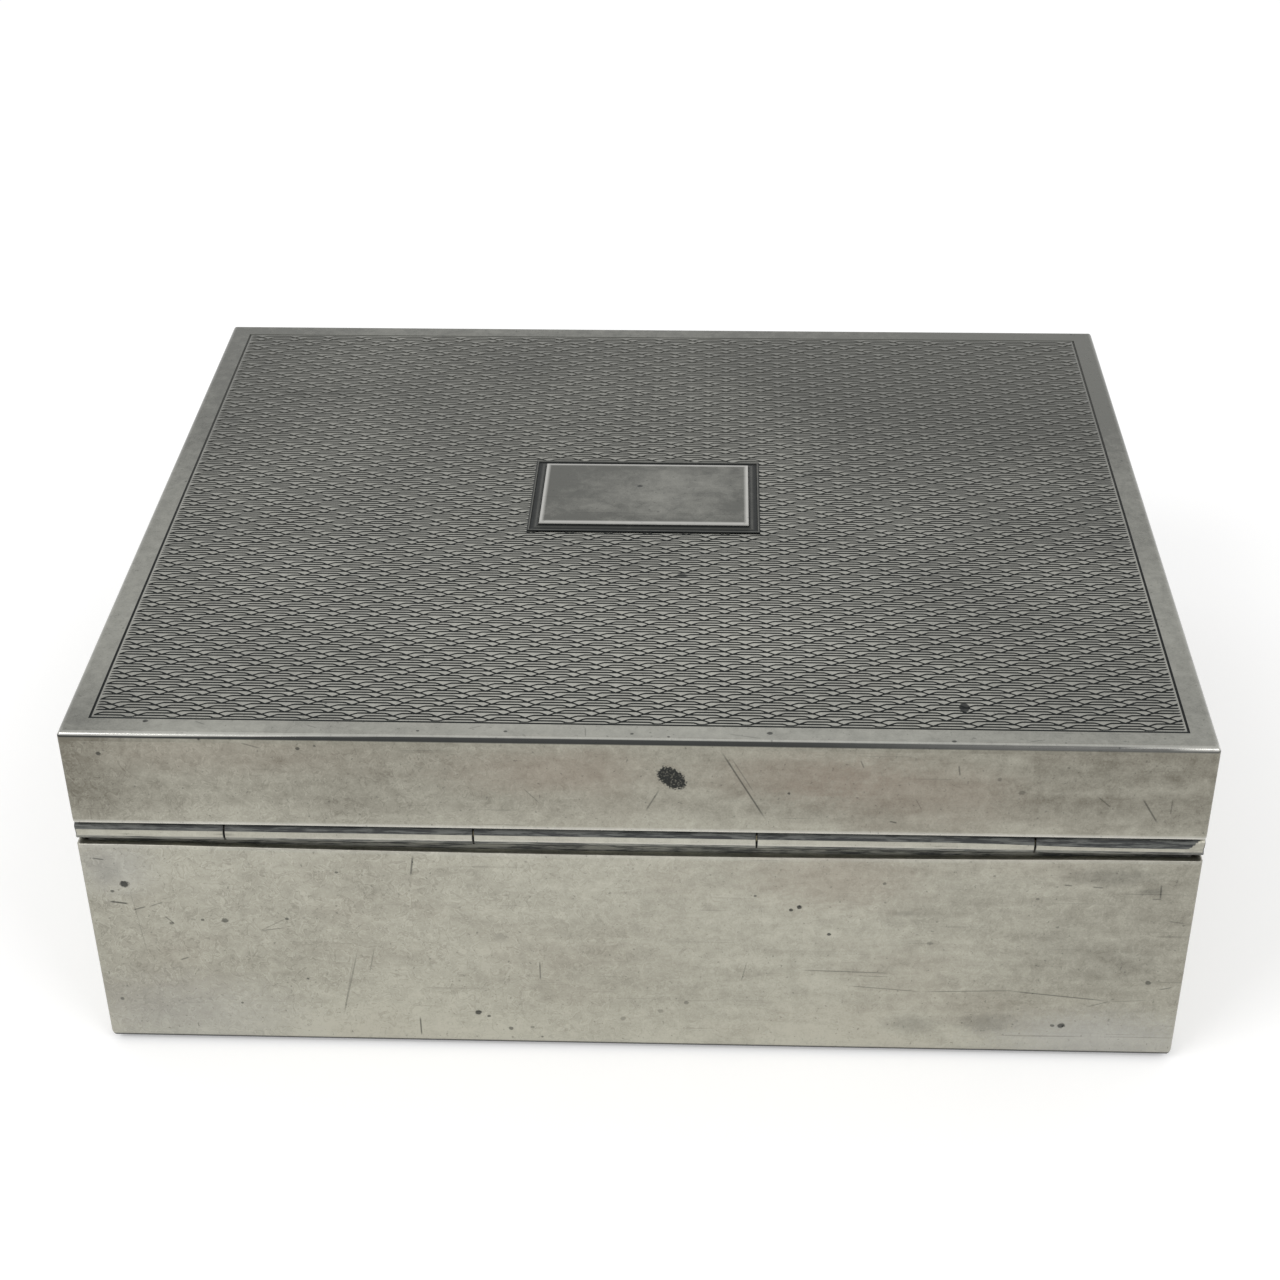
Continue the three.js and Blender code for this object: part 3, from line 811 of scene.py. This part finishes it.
def paint_joint(sheet, settings):
    """The joint's tube and bearers: bright where the tube is handled and painted with a reflection,
    dark in the channel, which holds streaks of grey grime. Painted light makes the channel and its
    streaks paler below the tube's axis, and painted shade keeps it darker above."""
    x, _, z = sheet.axes()
    grime = sheet.noise(sheet.place((0.25, 2, 2)), 1.0, 3.0).rise(0.58, 0.75) * 0.3
    streak = sheet.noise(sheet.place((0.3, 3.5, 3.5)), 1.0, 4.0, 0.7).rise(0.43, 0.6)
    colours = settings.colours
    # Painted light and shade: below the tube's axis the hollow is paler and its streaks lighter, above it
    # darker
    low = z.rise(27.3, 26.2)
    hollow = sheet.blend(colours.oxide, colours.grime, low * 0.4 + streak * (0.6 + low * 0.6))
    hollow = sheet.blend(hollow, colours.silver, low * streak * 0.5)
    metal = colours.tarnish, colours.silver
    worn(sheet, settings, metal, sheet.plane(x, z), 0.72, grime, rough=0.34, hollow=hollow, dirt=0.85)


def paint_wire(sheet, settings):
    """Drawn wire: fine lines along its length."""
    drawn = sheet.noise(sheet.place((0.05, 9, 9)), 1.0, 3.0)
    tint = sheet.blend(settings.colours.wire, settings.colours.tarnish, drawn)
    sheet.surface(
        Base_Color=tint, Metallic=1.0, Roughness=0.3 + drawn * 0.15, Normal=sheet.bump(drawn, 0.01 * MM, 0.4)
    )


def paint_cedar(sheet, settings, turn=0.0):
    """Planed cedar: rings drawn out along the board, fine pores and a soft change of tone."""
    colours = settings.colours
    board = sheet.place((0.055, 1, 1), (0, 0, turn))
    rings = sheet.noise(sheet.place((0.35,) * 3, source=board), 1.0, 3.0, 0.5, 0.8)
    bands = abs((rings * 9.0).math("FRACT") - 0.5) * 2.0
    pores = sheet.noise(sheet.place((0.8, 5, 5), source=board), 1.0, 3.0).rise(0.55, 0.72)
    wash = sheet.noise(sheet.place((0.04,) * 3), 1.0, 2.0)
    tone = bands * 0.55 + rings * 0.4 + (wash - 0.5) * 0.5
    base = sheet.blend(colours.cedar_light, colours.cedar_dark, tone.at_most(1.0).at_least(0.0))
    base = sheet.blend(base, colours.cedar_dark, pores * 0.55)
    height = bands * 0.3 - pores * 0.7
    sheet.surface(
        Base_Color=base, Roughness=0.58 + pores * 0.15 + bands * 0.05,
        Normal=sheet.bump(height, 0.06 * MM, 0.6),
    )


def paint_cedar_across(sheet, settings):
    """Cedar with its grain from front to back."""
    paint_cedar(sheet, settings, math.pi / 2)


def paint_baize(sheet, settings):
    """Wool baize: matted fibres and a soft nap."""
    fibres = sheet.noise(sheet.millimetres, 3.5, 4.0, 0.7, 1.5)
    nap = sheet.noise(sheet.place((0.25,) * 3), 1.0, 3.0)
    wool = settings.colours.baize
    base = sheet.blend(dimmed(wool, 0.45), wool, (fibres * 0.7 + nap * 0.4).at_most(1.0))
    sheet.surface(
        Base_Color=base, Roughness=0.9 + (nap - 0.5) * 0.1, Sheen_Weight=0.4, Sheen_Roughness=0.5,
        Normal=sheet.bump(fibres, 0.25 * MM, 0.8),
    )


def paint_floor(sheet, settings):
    """A pale floor that keeps the shadow: part of its white is its own light, for what sees it."""
    sheet.surface(
        Base_Color=rgba(settings.colours.floor), Roughness=0.9, Specular_IOR_Level=0.0,
        Emission_Color=sheet.blend(BLACK, WHITE, sheet.seen()), Emission_Strength=FLOOR_GLOW,
    )


# Pieces


class MakeBody(bpy.types.Operator):
    """Four walls of one band with a round lower edge, turned in as a flange."""

    bl_idname = "cigarette_box.body"
    bl_label = "Body band"
    bl_options = {"REGISTER", "UNDO"}

    def execute(self, context):
        """Rows of the outline: flange, round lower edge, wall up to the rim, over it and down inside."""
        settings = context.scene.cigarette_box
        shell = settings.shell
        floor, ledge = BAND_FOOT, BAND_FOOT + shell.flange
        inner = shell.wall + shell.flange_width
        insets, drops = quarter(shell.bottom_edge)
        under = np.linspace(math.pi / 2, 0, len(insets))
        rows = [level(box_ring(settings, inner), ledge), level(box_ring(settings, inner), floor)]
        rows += [
            level(box_ring(settings, inset), floor + drop)
            for inset, drop in zip(insets[::-1], drops[::-1])
        ]
        wear = [0.0] * len(rows)
        # Painted shade: the round lower edge's rows that face the floor get oxide, which darkens them like a
        # contact shadow
        below = smooth_step(under, math.radians(8), math.radians(30))
        oxide = [HIDDEN_OXIDE_AND_SHADE, HIDDEN_OXIDE_AND_SHADE, *(HIDDEN_OXIDE_AND_SHADE * below)]
        over = rim_rows(settings, -1)
        rows += [rows[-1] + (over[0] - rows[-1]) * part for part in np.linspace(0, 1, BODY_ROWS + 1)[1:-1]]
        rows.append(over[0] - np.array([0, 0, RIM_STRIP]))
        rows += over
        rows.append(level(box_ring(settings, shell.wall), ledge))
        wear += [0.0] * BODY_ROWS + [BODY_RIM_WEAR] * len(over) + [0.0]
        oxide += [0.0] * (len(rows) - len(oxide))
        surface = Surface().hoop(rows, np.array(wear)[:, None], np.array(oxide)[:, None])
        walls = finish("worn_silver_walls", paint_walls, settings)
        surface.piece("body_walls", walls, "body", "silver_wall", "body_band")
        return {"FINISHED"}


class MakeLidWalls(bpy.types.Operator):
    """The lid's four walls, cut away at the back for the joint."""

    bl_idname = "cigarette_box.lid_walls"
    bl_label = "Lid walls"
    bl_options = {"REGISTER", "UNDO"}

    def execute(self, context):
        """Rows of the outline from the top plate down to the rim, round it and up inside."""
        settings = context.scene.cigarette_box
        shell = settings.shell
        over = rim_rows(settings, 1)
        top = level(box_ring(settings, 0), PLATE_FOOT)
        near = over[0] + np.array([0, 0, RIM_STRIP])
        rows = [top + (near - top) * part for part in np.linspace(0, 1, LID_ROWS)]
        rows += over
        rows.append(level(box_ring(settings, shell.wall), PLATE_FOOT))
        wear = [0.0] * LID_ROWS + [LID_RIM_WEAR] * len(over) + [0.0]
        surface = Surface().hoop(rows, np.array(wear)[:, None])
        walls = finish("worn_silver_walls", paint_walls, settings)
        surface.piece("lid_walls", walls, "lid", "silver_wall", "lid_band")
        return {"FINISHED"}


class MakeLidTop(bpy.types.Operator):
    """The top plate: a round edge, a plain border and the engine-turned panel in its bed."""

    bl_idname = "cigarette_box.lid_top"
    bl_label = "Lid top"
    bl_options = {"REGISTER", "UNDO"}

    def execute(self, context):
        settings = context.scene.cigarette_box
        plain = finish("worn_silver_lid", paint_lid, settings)
        self.border(settings).piece("lid_border", plain, "lid", "silver_engine_turned", "lid_top_plate")
        for number, strip in enumerate(self.strips(settings), 1):
            strip.piece(f"turned_panel_{number}", plain, "lid", "silver_engine_turned", "lid_top_plate")
        return {"FINISHED"}

    def border(self, settings):
        """Rows of the outline over the edge, across the border and its cut line, down to the bed. On
        the joint side the rounded edge holds a painted dark reflection, laid on as oxide, which
        narrows towards both ends."""
        shell, turning = settings.shell, settings.turning
        insets, drops = quarter(shell.top_edge)
        half_cut = turning.border_cut / 2
        flat = shell.top_edge + 0.3 * MM
        line = turning.border_inset
        profile = [(shell.wall, PLATE_FOOT, 0, 0), (0, PLATE_FOOT, 0, 0)]
        profile += [(0, LID_TOP - shell.top_edge - HAIR, 0, 0)]
        row = np.arange(len(insets))
        shine = smooth_step(row, 0.5, 2) * (0.5 - 0.3 * smooth_step(row, 4.5, 6.5))
        profile += [(inset, LID_TOP - drop, lit, 0) for inset, drop, lit in zip(insets, drops, shine)]
        profile += [
            (shell.top_edge + HAIR, LID_TOP, 0, 0),
            (flat, LID_TOP, 0, 0),
            (line - half_cut, LID_TOP, 0, 0),
            (line - 0.3 * half_cut, LID_TOP - 0.35 * turning.border_cut, 0, 1),
            (line + 0.3 * half_cut, LID_TOP - 0.35 * turning.border_cut, 0, 1),
            (line + half_cut, LID_TOP, 0, 0.1),
            (line + half_cut, LID_TOP - turning.bed, 0, 1),
        ]
        rows = np.array([level(box_ring(settings, inset), height) for inset, height, _, _ in profile])
        values = np.array(profile)
        # Painted dark reflection: oxide on the rounded edge from its foot up to row upper, fewer rows
        # towards both ends, and only on the joint side, where handled also raises the edge's wear
        handled = smooth_step(rows[..., 1], HALF_DEPTH - 0.8 * MM, HALF_DEPTH - 0.55 * MM)
        step = np.arange(len(profile))[:, None] - 3.0
        x = rows[..., 0]
        upper = 5.9 - 3.5 * smooth_step(x, 16 * MM, 50 * MM) - 3.2 * smooth_step(-x, 46 * MM, 54 * MM)
        dull = smooth_step(step, -1, 1) * (1 - smooth_step(step, upper - 0.5, upper + 0.5)) * handled
        depth = 0.262 - 0.05 * smooth_step(-x, 12 * MM, 40 * MM)
        oxide = np.maximum(values[:, 3:4], depth * dull)
        return Surface().loft(rows, values[:, 2:3] * (0.25 + 0.75 * handled), oxide)

    def strips(self, settings):
        """The turned panel in strips of whole lines.

        Line n lies n pitches in from the back border line and dips towards it once in a wave
        length. Its dip is V shaped with soft shoulders, and lines take six shifts in turn, so
        that dips stand in pairs like bricks. A cut is a V along the line: a valley row between
        two shoulder rows, which meet half way where two lines come close.
        """
        turning = settings.turning
        border_x = HALF_WIDTH - turning.border_inset
        border_y = HALF_DEPTH - turning.border_inset
        edge_x, edge_y = border_x - turning.border_cut / 2, border_y - turning.border_cut / 2
        pitch = 2 * border_y / (turning.lines + 1)
        wave = turning.wave_length
        start = border_x - turning.first_dip
        end = border_x - turning.run_out
        step = wave / STEPS_PER_WAVE
        first = math.ceil((LINE_END_GAP - end - start) / step)
        inside = start + step * np.arange(first, STEPS_PER_WAVE)
        inside = inside[inside < end - LINE_END_GAP]
        x = np.concatenate([[-edge_x, -end], inside, [end, edge_x]])
        taper = np.concatenate([[0, 0], np.ones(len(inside)), [0, 0]])
        number = np.arange(turning.lines)[:, None]
        shift = LINE_SHIFTS[number % len(LINE_SHIFTS)] * step
        away = np.abs((x - start + shift + wave / 2) % wave - wave / 2)
        slope = 1 - away / turning.dip_width
        dip = (slope + np.sqrt(slope**2 + DIP_SOFTNESS)) / 2
        valley = border_y - (number + 1) * pitch + turning.dip_share * pitch * dip
        valley = np.clip(valley, -edge_y + HAIR, edge_y - HAIR)
        half = turning.cut_width / 2
        gap = np.vstack([edge_y - valley[:1], (valley[:-1] - valley[1:]) / 2, valley[-1:] + edge_y])
        reach = np.minimum(gap, half)
        left_deep = 1 - reach / half
        y = np.stack([valley + reach[:-1], valley, valley - reach[1:]], axis=1).reshape(-1, len(x))
        cut = np.stack([left_deep[:-1], np.ones_like(valley), left_deep[1:]], axis=1).reshape(-1, len(x))
        flat = np.ones((1, len(x)))
        y = np.vstack([edge_y * flat, y, -edge_y * flat])
        cut = np.vstack([0 * flat, cut, 0 * flat]) * taper
        points = place_points(x, y, LID_TOP - turning.cut_depth * cut)
        breaks = 1 + 3 * np.linspace(0, turning.lines, PANEL_STRIPS + 1).astype(int)
        breaks[0], breaks[-1] = 0, len(y) - 1
        return [
            self.slab(points[first:last + 1], cut[first:last + 1], LID_TOP - turning.bed)
            for first, last in zip(breaks[:-1], breaks[1:])
        ]

    def slab(self, points, cut, floor):
        """A cut top with plain sides and a flat underside."""
        surface = Surface()
        top = surface.add(points, 0.06 * (1 - cut), 2.5 * cut)
        under = points[[0, -1]].copy()
        under[..., 2] = floor
        base = surface.add(under)
        surface.skin(top, around=False)
        surface.skin(np.vstack([top[-1], base[1], base[0], top[0]]), around=False)
        surface.cap(np.concatenate([top[:, 0], [base[1, 0], base[0, 0]]]))
        surface.cap(np.concatenate([top[:, -1], [base[1, -1], base[0, -1]]]), turned=True)
        return surface


class MakeCartouche(bpy.types.Operator):
    """A plain raised tablet in a stepped and hollowed moulding."""

    bl_idname = "cigarette_box.cartouche"
    bl_label = "Cartouche"
    bl_options = {"REGISTER", "UNDO"}

    def execute(self, context):
        """Rows of a rectangle drawn in along the moulding's profile: fillet, groove, hollow, tablet."""
        settings = context.scene.cigarette_box
        sizes, bottom = settings.cartouche, LID_TOP
        low, high = corners("cartouche")
        half_x, half_y = (high - low)[:2] / 2
        centre = ((high + low) / 2)[:2]
        wide = sizes.moulding
        turn = np.linspace(0, math.pi / 2, EDGE_STEPS)
        hollow = np.column_stack([
            wide * (0.38 + 0.5 * np.sin(turn)),
            bottom + sizes.fillet * (0.35 + 0.75 * (1 - np.cos(turn))),
        ])
        insets, drops = quarter(sizes.tablet_edge)
        # The oxide in this profile is partly oxide in the moulding's hollows and partly painted shade and
        # light: dark on the upright faces and in the step at the tablet's foot, lighter on the flats and
        # along the middle of the hollow
        profile = [
            (0, bottom, 0, 0.3),
            (0, bottom + 0.7 * sizes.fillet, 0, 0.3),
            (0.06 * wide, bottom + sizes.fillet, 0, 0.26),
            (0.15 * wide, bottom + sizes.fillet, 0, 0.08),
            (0.21 * wide, bottom + sizes.fillet, 0, 0.1),
            (0.26 * wide, bottom + 0.35 * sizes.fillet, 0, 0.3),
        ]
        dull = 0.262 - 0.11 * np.sin(2 * turn) ** 4
        profile += [(inset, height, 0, part) for (inset, height), part in zip(hollow, dull)]
        profile += [(0.93 * wide, hollow[-1, 1], 0, 0.08), (0.97 * wide, hollow[-1, 1] - 0.03 * MM, 0, 0.4)]
        profile += [(wide, high[2] - sizes.tablet_edge - 0.01 * MM, 0, 0.3)]
        bright = np.linspace(0.3, 0.6, len(insets))
        profile += [
            (wide + inset, high[2] - drop * 0.8, shine, 0)
            for inset, drop, shine in zip(insets, drops, bright)
        ]
        profile += [(wide + 2.6 * sizes.tablet_edge, high[2], 0, 0)]
        values = np.array(profile)
        rows = [
            level(rectangle_ring(half_x - inset, half_y - inset, SHARP_RADIUS, centre), height)
            for inset, height, _, _ in profile
        ]
        surface = Surface().loft(rows, values[:, 2:3], values[:, 3:4])
        tablet = finish("worn_silver_tablet", paint_cartouche, settings)
        surface.piece("cartouche_tablet", tablet, "lid", "silver_cartouche", "cartouche")
        return {"FINISHED"}


class MakeJoint(bpy.types.Operator):
    """Five knuckles of tube, the wire through them and the two grooved bearers."""

    bl_idname = "cigarette_box.joint"
    bl_label = "Joint"
    bl_options = {"REGISTER", "UNDO"}

    def execute(self, context):
        settings = context.scene.cigarette_box
        silver = finish("worn_silver_joint", paint_joint, settings)
        for node, body in KNUCKLES.items():
            name = node.replace("knuckle", "tube")
            self.knuckle(settings, node).piece(name, silver, body, "silver_joint", node)
        for body, side in (("body", -1), ("lid", 1)):
            node = f"{body}_joint_bearer"
            self.bearer(settings, node, side).piece(f"{body}_channel", silver, body, "silver_joint", node)
        wire = finish("drawn_wire", paint_wire, settings)
        self.wire().piece("joint_wire", wire, "body", "pin_wire", "hinge_pin")
        return {"FINISHED"}

    def corner_limit(self, y, half_x, half_y, radius):
        """Half width of a round-cornered outline at each depth y."""
        past = np.clip(y - (half_y - radius), 0, radius)
        return half_x - radius + np.sqrt(radius**2 - past**2)

    def knuckle(self, settings, node):
        """A tube: a circle carried along X with chamfered ends, bored through, and at the box's
        corners cut back to the outline. Its rows stand closer towards the ends. Between two angles in
        degrees from level, where it faces out of the channel, it is bright with wear and a painted
        reflection; past them its faces in the channel get oxide as painted shade and dark reflection."""
        shell, joint = settings.shell, settings.joint
        low, high = corners(node)
        radius = (high[2] - low[2]) / 2
        chamfer = joint.saw_edge
        end = np.linspace(0, 0.12, 10)
        run = np.concatenate([end, [0.3, 0.5, 0.7], 1 - end[::-1]])
        radii = np.array([joint.bore, radius - chamfer, *[radius] * len(run), radius - chamfer, joint.bore])
        angle, y, z = circles(radii, TUBE_STEPS)
        limit = self.corner_limit(y, HALF_WIDTH, HALF_DEPTH, shell.corner_radius)
        left, right = np.maximum(low[0], -limit), np.minimum(high[0], limit)
        part = np.array([0, 0, *run, 1, 1])[:, None]
        inward = chamfer * np.array([0, 0, 1, *[0] * (len(run) - 2), -1, 0, 0])[:, None]
        x = left + (right - left) * part + inward
        tilt = np.degrees((angle + math.pi) % (2 * math.pi) - math.pi)
        # Painted shade and dark reflection: past the band's angles the tube's faces get oxide; the upper
        # angle moves along X, so the band narrows towards -X and widens upward at the -X end
        upper = 23 - 15 * smooth_step(-x, 30 * MM, 46 * MM)
        upper += (60 - upper) * smooth_step(-x, HALF_WIDTH - 1.8 * MM, HALF_WIDTH - 0.2 * MM)
        dull = np.maximum(smooth_step(tilt, upper - 2, upper + 3), 1 - smooth_step(tilt, -17, -12))
        handled = 1 - 0.8 * smooth_step(np.abs(x), 22 * MM, 42 * MM)
        wear = (0.08 + 0.2 * smooth_step(tilt, 4, -10)) * (1 - dull) * handled
        oxide = 0.55 * dull
        ends = np.array([1, 0.7, *[0] * len(run), 0.7, 1])[:, None]
        return Surface().hoop(place_points(x, y, z), wear * (1 - ends), np.maximum(oxide, ends))

    def bearer(self, settings, node, side):
        """A strip along X whose section is a rectangle hollowed by the channel's quarter round."""
        shell, radius = settings.shell, settings.joint.channel
        low, high = corners(node)
        (front, back), heights = (low[1], high[1]), (low[2], high[2])
        outer, rim = heights if side < 0 else heights[::-1]
        start = math.asin(shell.rim_gap / 2 / radius)
        angle = np.linspace(start, math.pi / 2, ARC_STEPS)
        hollow = np.column_stack([HINGE_Y - radius * np.cos(angle), HINGE_Z + side * radius * np.sin(angle)])
        section = np.vstack([[front, outer], [front, rim], hollow, [back, hollow[-1, 1]], [back, outer]])
        oxide = np.concatenate([[0.1, 0.2], np.linspace(0.45, 0.6, ARC_STEPS), [0.6, 0.6]])
        y, z = section.T
        inset = HALF_DEPTH - back
        x = self.corner_limit(y, high[0], back, max(shell.corner_radius - inset, SHARP_RADIUS))
        track = np.linspace(-1, 1, TRACK_STEPS)[:, None]
        return Surface().loft(place_points(x * track, y, z), oxide=oxide)

    def wire(self):
        """A rod along X with rounded ends: circles whose radius falls away as a quarter round."""
        low, high = corners("hinge_pin")
        radius = (high[2] - low[2]) / 2
        insets, drops = quarter(radius * 0.4)
        x = np.concatenate([low[0] + insets, high[0] - insets[::-1]])
        _, y, z = circles(radius - np.concatenate([drops, drops[::-1]]), TUBE_STEPS // 4)
        return Surface().loft(place_points(x[:, None], y, z))


class MakeLining(bpy.types.Operator):
    """Cedar floor, four mitred slips and the divider that stands in their grooves."""

    bl_idname = "cigarette_box.lining"
    bl_label = "Cedar lining"
    bl_options = {"REGISTER", "UNDO"}

    def execute(self, context):
        settings = context.scene.cigarette_box
        along = finish("cedar_along", paint_cedar, settings)
        across = finish("cedar_across", paint_cedar_across, settings)
        board(settings, "lining_floor").piece("cedar_floor", along, "body", "cedar", "lining_floor")
        for name in ("front", "back"):
            node = f"lining_{name}"
            self.long_slip(settings, node).piece(f"cedar_{name}", along, "body", "cedar", node)
        for name in ("left", "right"):
            node = f"lining_{name}"
            self.side_slip(settings, node).piece(f"cedar_{name}", across, "body", "cedar", node)
        divider = self.divider(settings, "compartment_divider")
        divider.piece("cedar_divider", across, "body", "cedar", "compartment_divider")
        return {"FINISHED"}

    def slip_ends(self, settings, node, axis):
        """Depths and reaches along one slip's end, from its outer face to its inner face: square
        for as far as the band's corner needs, then a mitre."""
        low, high = corners(node)
        fit = settings.lining.fit
        depth = np.array([0, fit, (high - low)[1 - axis]])
        outer = (HALF_WIDTH, HALF_DEPTH)[axis] - settings.shell.wall - fit
        return depth, outer - np.maximum(depth, fit) - fit / 2

    def long_slip(self, settings, node):
        """A prism on a plan with mitred ends and a groove for the divider, its upper edge chamfered."""
        low, high = corners(node)
        depth, reach = self.slip_ends(settings, node, 0)
        groove = corners("compartment_divider")[1][0] + settings.lining.fit
        thick, floor = depth[-1], depth[-1] - settings.lining.groove
        u = np.concatenate([-reach[::-1], reach, [groove, groove, -groove, -groove]])
        v = np.concatenate([depth[::-1], depth, [thick, floor, floor, thick]])
        front = node.endswith("front")
        y = low[1] + v if front else high[1] - v
        plan = np.column_stack([u, y])
        edge = settings.lining.edge
        drawn = np.where(v > thick - edge, thick - edge, v)
        shy = np.column_stack([u, low[1] + drawn if front else high[1] - drawn])
        return Surface().loft([level(plan, low[2]), level(plan, high[2] - edge), level(shy, high[2])])

    def side_slip(self, settings, node):
        """A side profile with a notch for the joint's bearer, carried across the slip's thickness,
        its ends following the mitre and its inner upper edge chamfered."""
        low, high = corners(node)
        fit, edge = settings.lining.fit, settings.lining.edge
        bearer_low = corners("body_joint_bearer")[0]
        notch_y, notch_z = bearer_low[1] - fit, bearer_low[2] - fit
        depth, reach = self.slip_ends(settings, node, 1)
        depth = np.insert(depth, -1, depth[-1] - edge)
        reach = np.insert(reach, -1, reach[-1] + edge)
        top = np.where(depth > depth[-2], high[2] - edge, high[2])
        one = np.ones_like(reach)
        y = np.stack([-reach, reach, reach, notch_y * one, notch_y * one, -reach], axis=1)
        y[:, 1:3] = np.maximum(y[:, 1:3], notch_y + NOTCH_LEAST)
        z = np.stack([low[2] * one, low[2] * one, notch_z * one, notch_z * one, top, top], axis=1)
        left = node.endswith("left")
        x = low[0] + depth if left else high[0] - depth
        return Surface().loft(place_points(x[:, None], y, z))

    def divider(self, settings, node):
        """A side profile with round upper corners, carried across X and drawn in at both faces."""
        low, high = corners(node)
        radius, edge = settings.lining.divider_corner, settings.lining.edge
        turn = np.linspace(0, math.pi / 2, ARC_STEPS)
        insets, drops = quarter(edge, 4)
        x = np.concatenate([low[0] + insets, high[0] - insets[::-1]])
        shifts = np.concatenate([drops, drops[::-1]])
        reach, top = high[1] - shifts[:, None], high[2] - shifts[:, None]
        arc_y, arc_z = radius * (1 - np.cos(turn)), radius * (1 - np.sin(turn))
        right_y, right_z = reach - arc_y, top - arc_z
        floor = np.full((len(x), 1), low[2])
        y = np.hstack([-reach, reach, right_y, -right_y[:, ::-1]])
        z = np.hstack([floor, floor, right_z, right_z[:, ::-1]])
        return Surface().loft(place_points(x[:, None], y, z))


class MakeBase(bpy.types.Operator):
    """The board in the flange and the baize pad under it."""

    bl_idname = "cigarette_box.base"
    bl_label = "Base"
    bl_options = {"REGISTER", "UNDO"}

    def execute(self, context):
        settings = context.scene.cigarette_box
        along = finish("cedar_along", paint_cedar, settings)
        board(settings, "base_board").piece("base_cedar", along, "body", "cedar", "base_board")
        baize = finish("wool_baize", paint_baize, settings)
        pad = self.pad().piece("baize_pad", baize, "body", "baize", "base_baize")
        return {"FINISHED"}

    def pad(self):
        """A low pad with soft edges and a felted underside that waves by a twentieth of a millimetre."""
        low, high = corners("base_baize")
        half_x, half_y = (high - low)[:2] / 2
        soft = BAIZE_EDGE
        steps = [(soft, high[2]), (0, high[2] - soft), (0, low[2] + soft), (soft, low[2])]
        steps += [(half_y * part, low[2]) for part in np.linspace(0.05, 0.95, 12)]
        rows = []
        for inset, height in steps:
            ring = rectangle_ring(half_x - inset, half_y - inset, SHARP_RADIUS)
            wave = np.prod(np.sin(ring * BAIZE_RADIANS), axis=1)
            felt = BAIZE_WAVE * (1 + wave) if height == low[2] else 0.0
            rows.append(level(ring, height + felt))
        return Surface().loft(rows)


class MakeStage(bpy.types.Operator):
    """Pale floor, soft studio light and the camera."""

    bl_idname = "cigarette_box.stage"
    bl_label = "Stage"
    bl_options = {"REGISTER", "UNDO"}

    def execute(self, context):
        settings = context.scene.cigarette_box
        self.floor(settings)
        self.world()
        for lamp in LAMPS:
            self.lamp(*lamp)
        self.camera(settings.stage)
        bpy.context.scene.view_settings.view_transform = "Standard"
        return {"FINISHED"}

    def floor(self, settings):
        """A level disc about the origin."""
        angle = np.linspace(0, 2 * math.pi, FLOOR_STEPS, endpoint=False)
        ring = FLOOR_RADIUS * np.column_stack([np.cos(angle), np.sin(angle), 0 * angle])
        mesh = bpy.data.meshes.new("floor")
        mesh.from_pydata(ring.tolist(), [], [list(range(len(ring)))])
        mesh.materials.append(finish("pale_floor", paint_floor, settings))
        floor = bpy.data.objects.new("floor", mesh)
        bpy.context.scene.collection.objects.link(floor)

    def world(self):
        """White to the camera and in reflections; its light on the rest is that of a pale grey room."""
        world = bpy.data.worlds.new("studio")
        bpy.context.scene.world = world
        world.use_nodes = True
        sheet = NodeSheet(world.node_tree)
        shown = sheet.blend(ROOM, WHITE, sheet.seen())
        light = sheet.node("Background", {"Color": shown, "Strength": 1.0})
        sheet.node("OutputWorld", {"Surface": light})

    def lamp(self, name, place, size, power):
        """A square soft lamp that faces the middle of the box."""
        data = bpy.data.lights.new(name, "AREA")
        data.size = size
        data.energy = power
        lamp = bpy.data.objects.new(name, data)
        lamp.location = place
        aim = Vector((0, 0, LID_TOP / 2)) - Vector(place)
        lamp.rotation_euler = aim.to_track_quat("-Z", "Y").to_euler()
        bpy.context.scene.collection.objects.link(lamp)

    def camera(self, stage):
        data = bpy.data.cameras.new("camera")
        data.lens = stage.lens
        data.clip_start = CLIP_START
        camera = bpy.data.objects.new("camera", data)
        place, aim = Vector(stage.camera_place), Vector(stage.camera_aim)
        roll = Quaternion((0, 0, 1), stage.camera_roll)
        camera.location = place
        camera.rotation_mode = "QUATERNION"
        camera.rotation_quaternion = (aim - place).to_track_quat("-Z", "Y") @ roll
        bpy.context.scene.collection.objects.link(camera)
        bpy.context.scene.camera = camera


OPERATORS = (MakeBody, MakeLidWalls, MakeLidTop, MakeCartouche, MakeJoint, MakeLining, MakeBase, MakeStage)


class BoxPanel(bpy.types.Panel):
    """Lists the pieces of the box and their settings."""

    bl_idname = "VIEW3D_PT_cigarette_box"
    bl_label = "Cigarette box"
    bl_space_type = "VIEW_3D"
    bl_region_type = "UI"
    bl_category = "Cigarette box"

    def draw(self, context):
        for operator in OPERATORS:
            self.layout.operator(operator.bl_idname)
        settings = context.scene.cigarette_box
        for group in settings.bl_rna.properties.keys():
            if group in ("rna_type", "name"):
                continue
            box = self.layout.box()
            box.label(text=settings.bl_rna.properties[group].name)
            values = getattr(settings, group)
            for name in values.bl_rna.properties.keys():
                if name not in ("rna_type", "name"):
                    box.prop(values, name)


CLASSES = (
    ShellSizes, TurningSizes, CartoucheSizes, JointSizes, LiningSizes, BoxColours, StageSettings,
    BoxSettings, *OPERATORS, BoxPanel,
)


def register():
    for cls in CLASSES:
        bpy.utils.register_class(cls)
    bpy.types.Scene.cigarette_box = bpy.props.PointerProperty(
        type=BoxSettings, name="Cigarette box", description="Settings of the cigarette box"
    )


def unregister():
    del bpy.types.Scene.cigarette_box
    for cls in reversed(CLASSES):
        bpy.utils.unregister_class(cls)


def main():
    register()
    for operator in OPERATORS:
        group, name = operator.bl_idname.split(".")
        getattr(getattr(bpy.ops, group), name)()


if __name__ == "__main__":
    main()
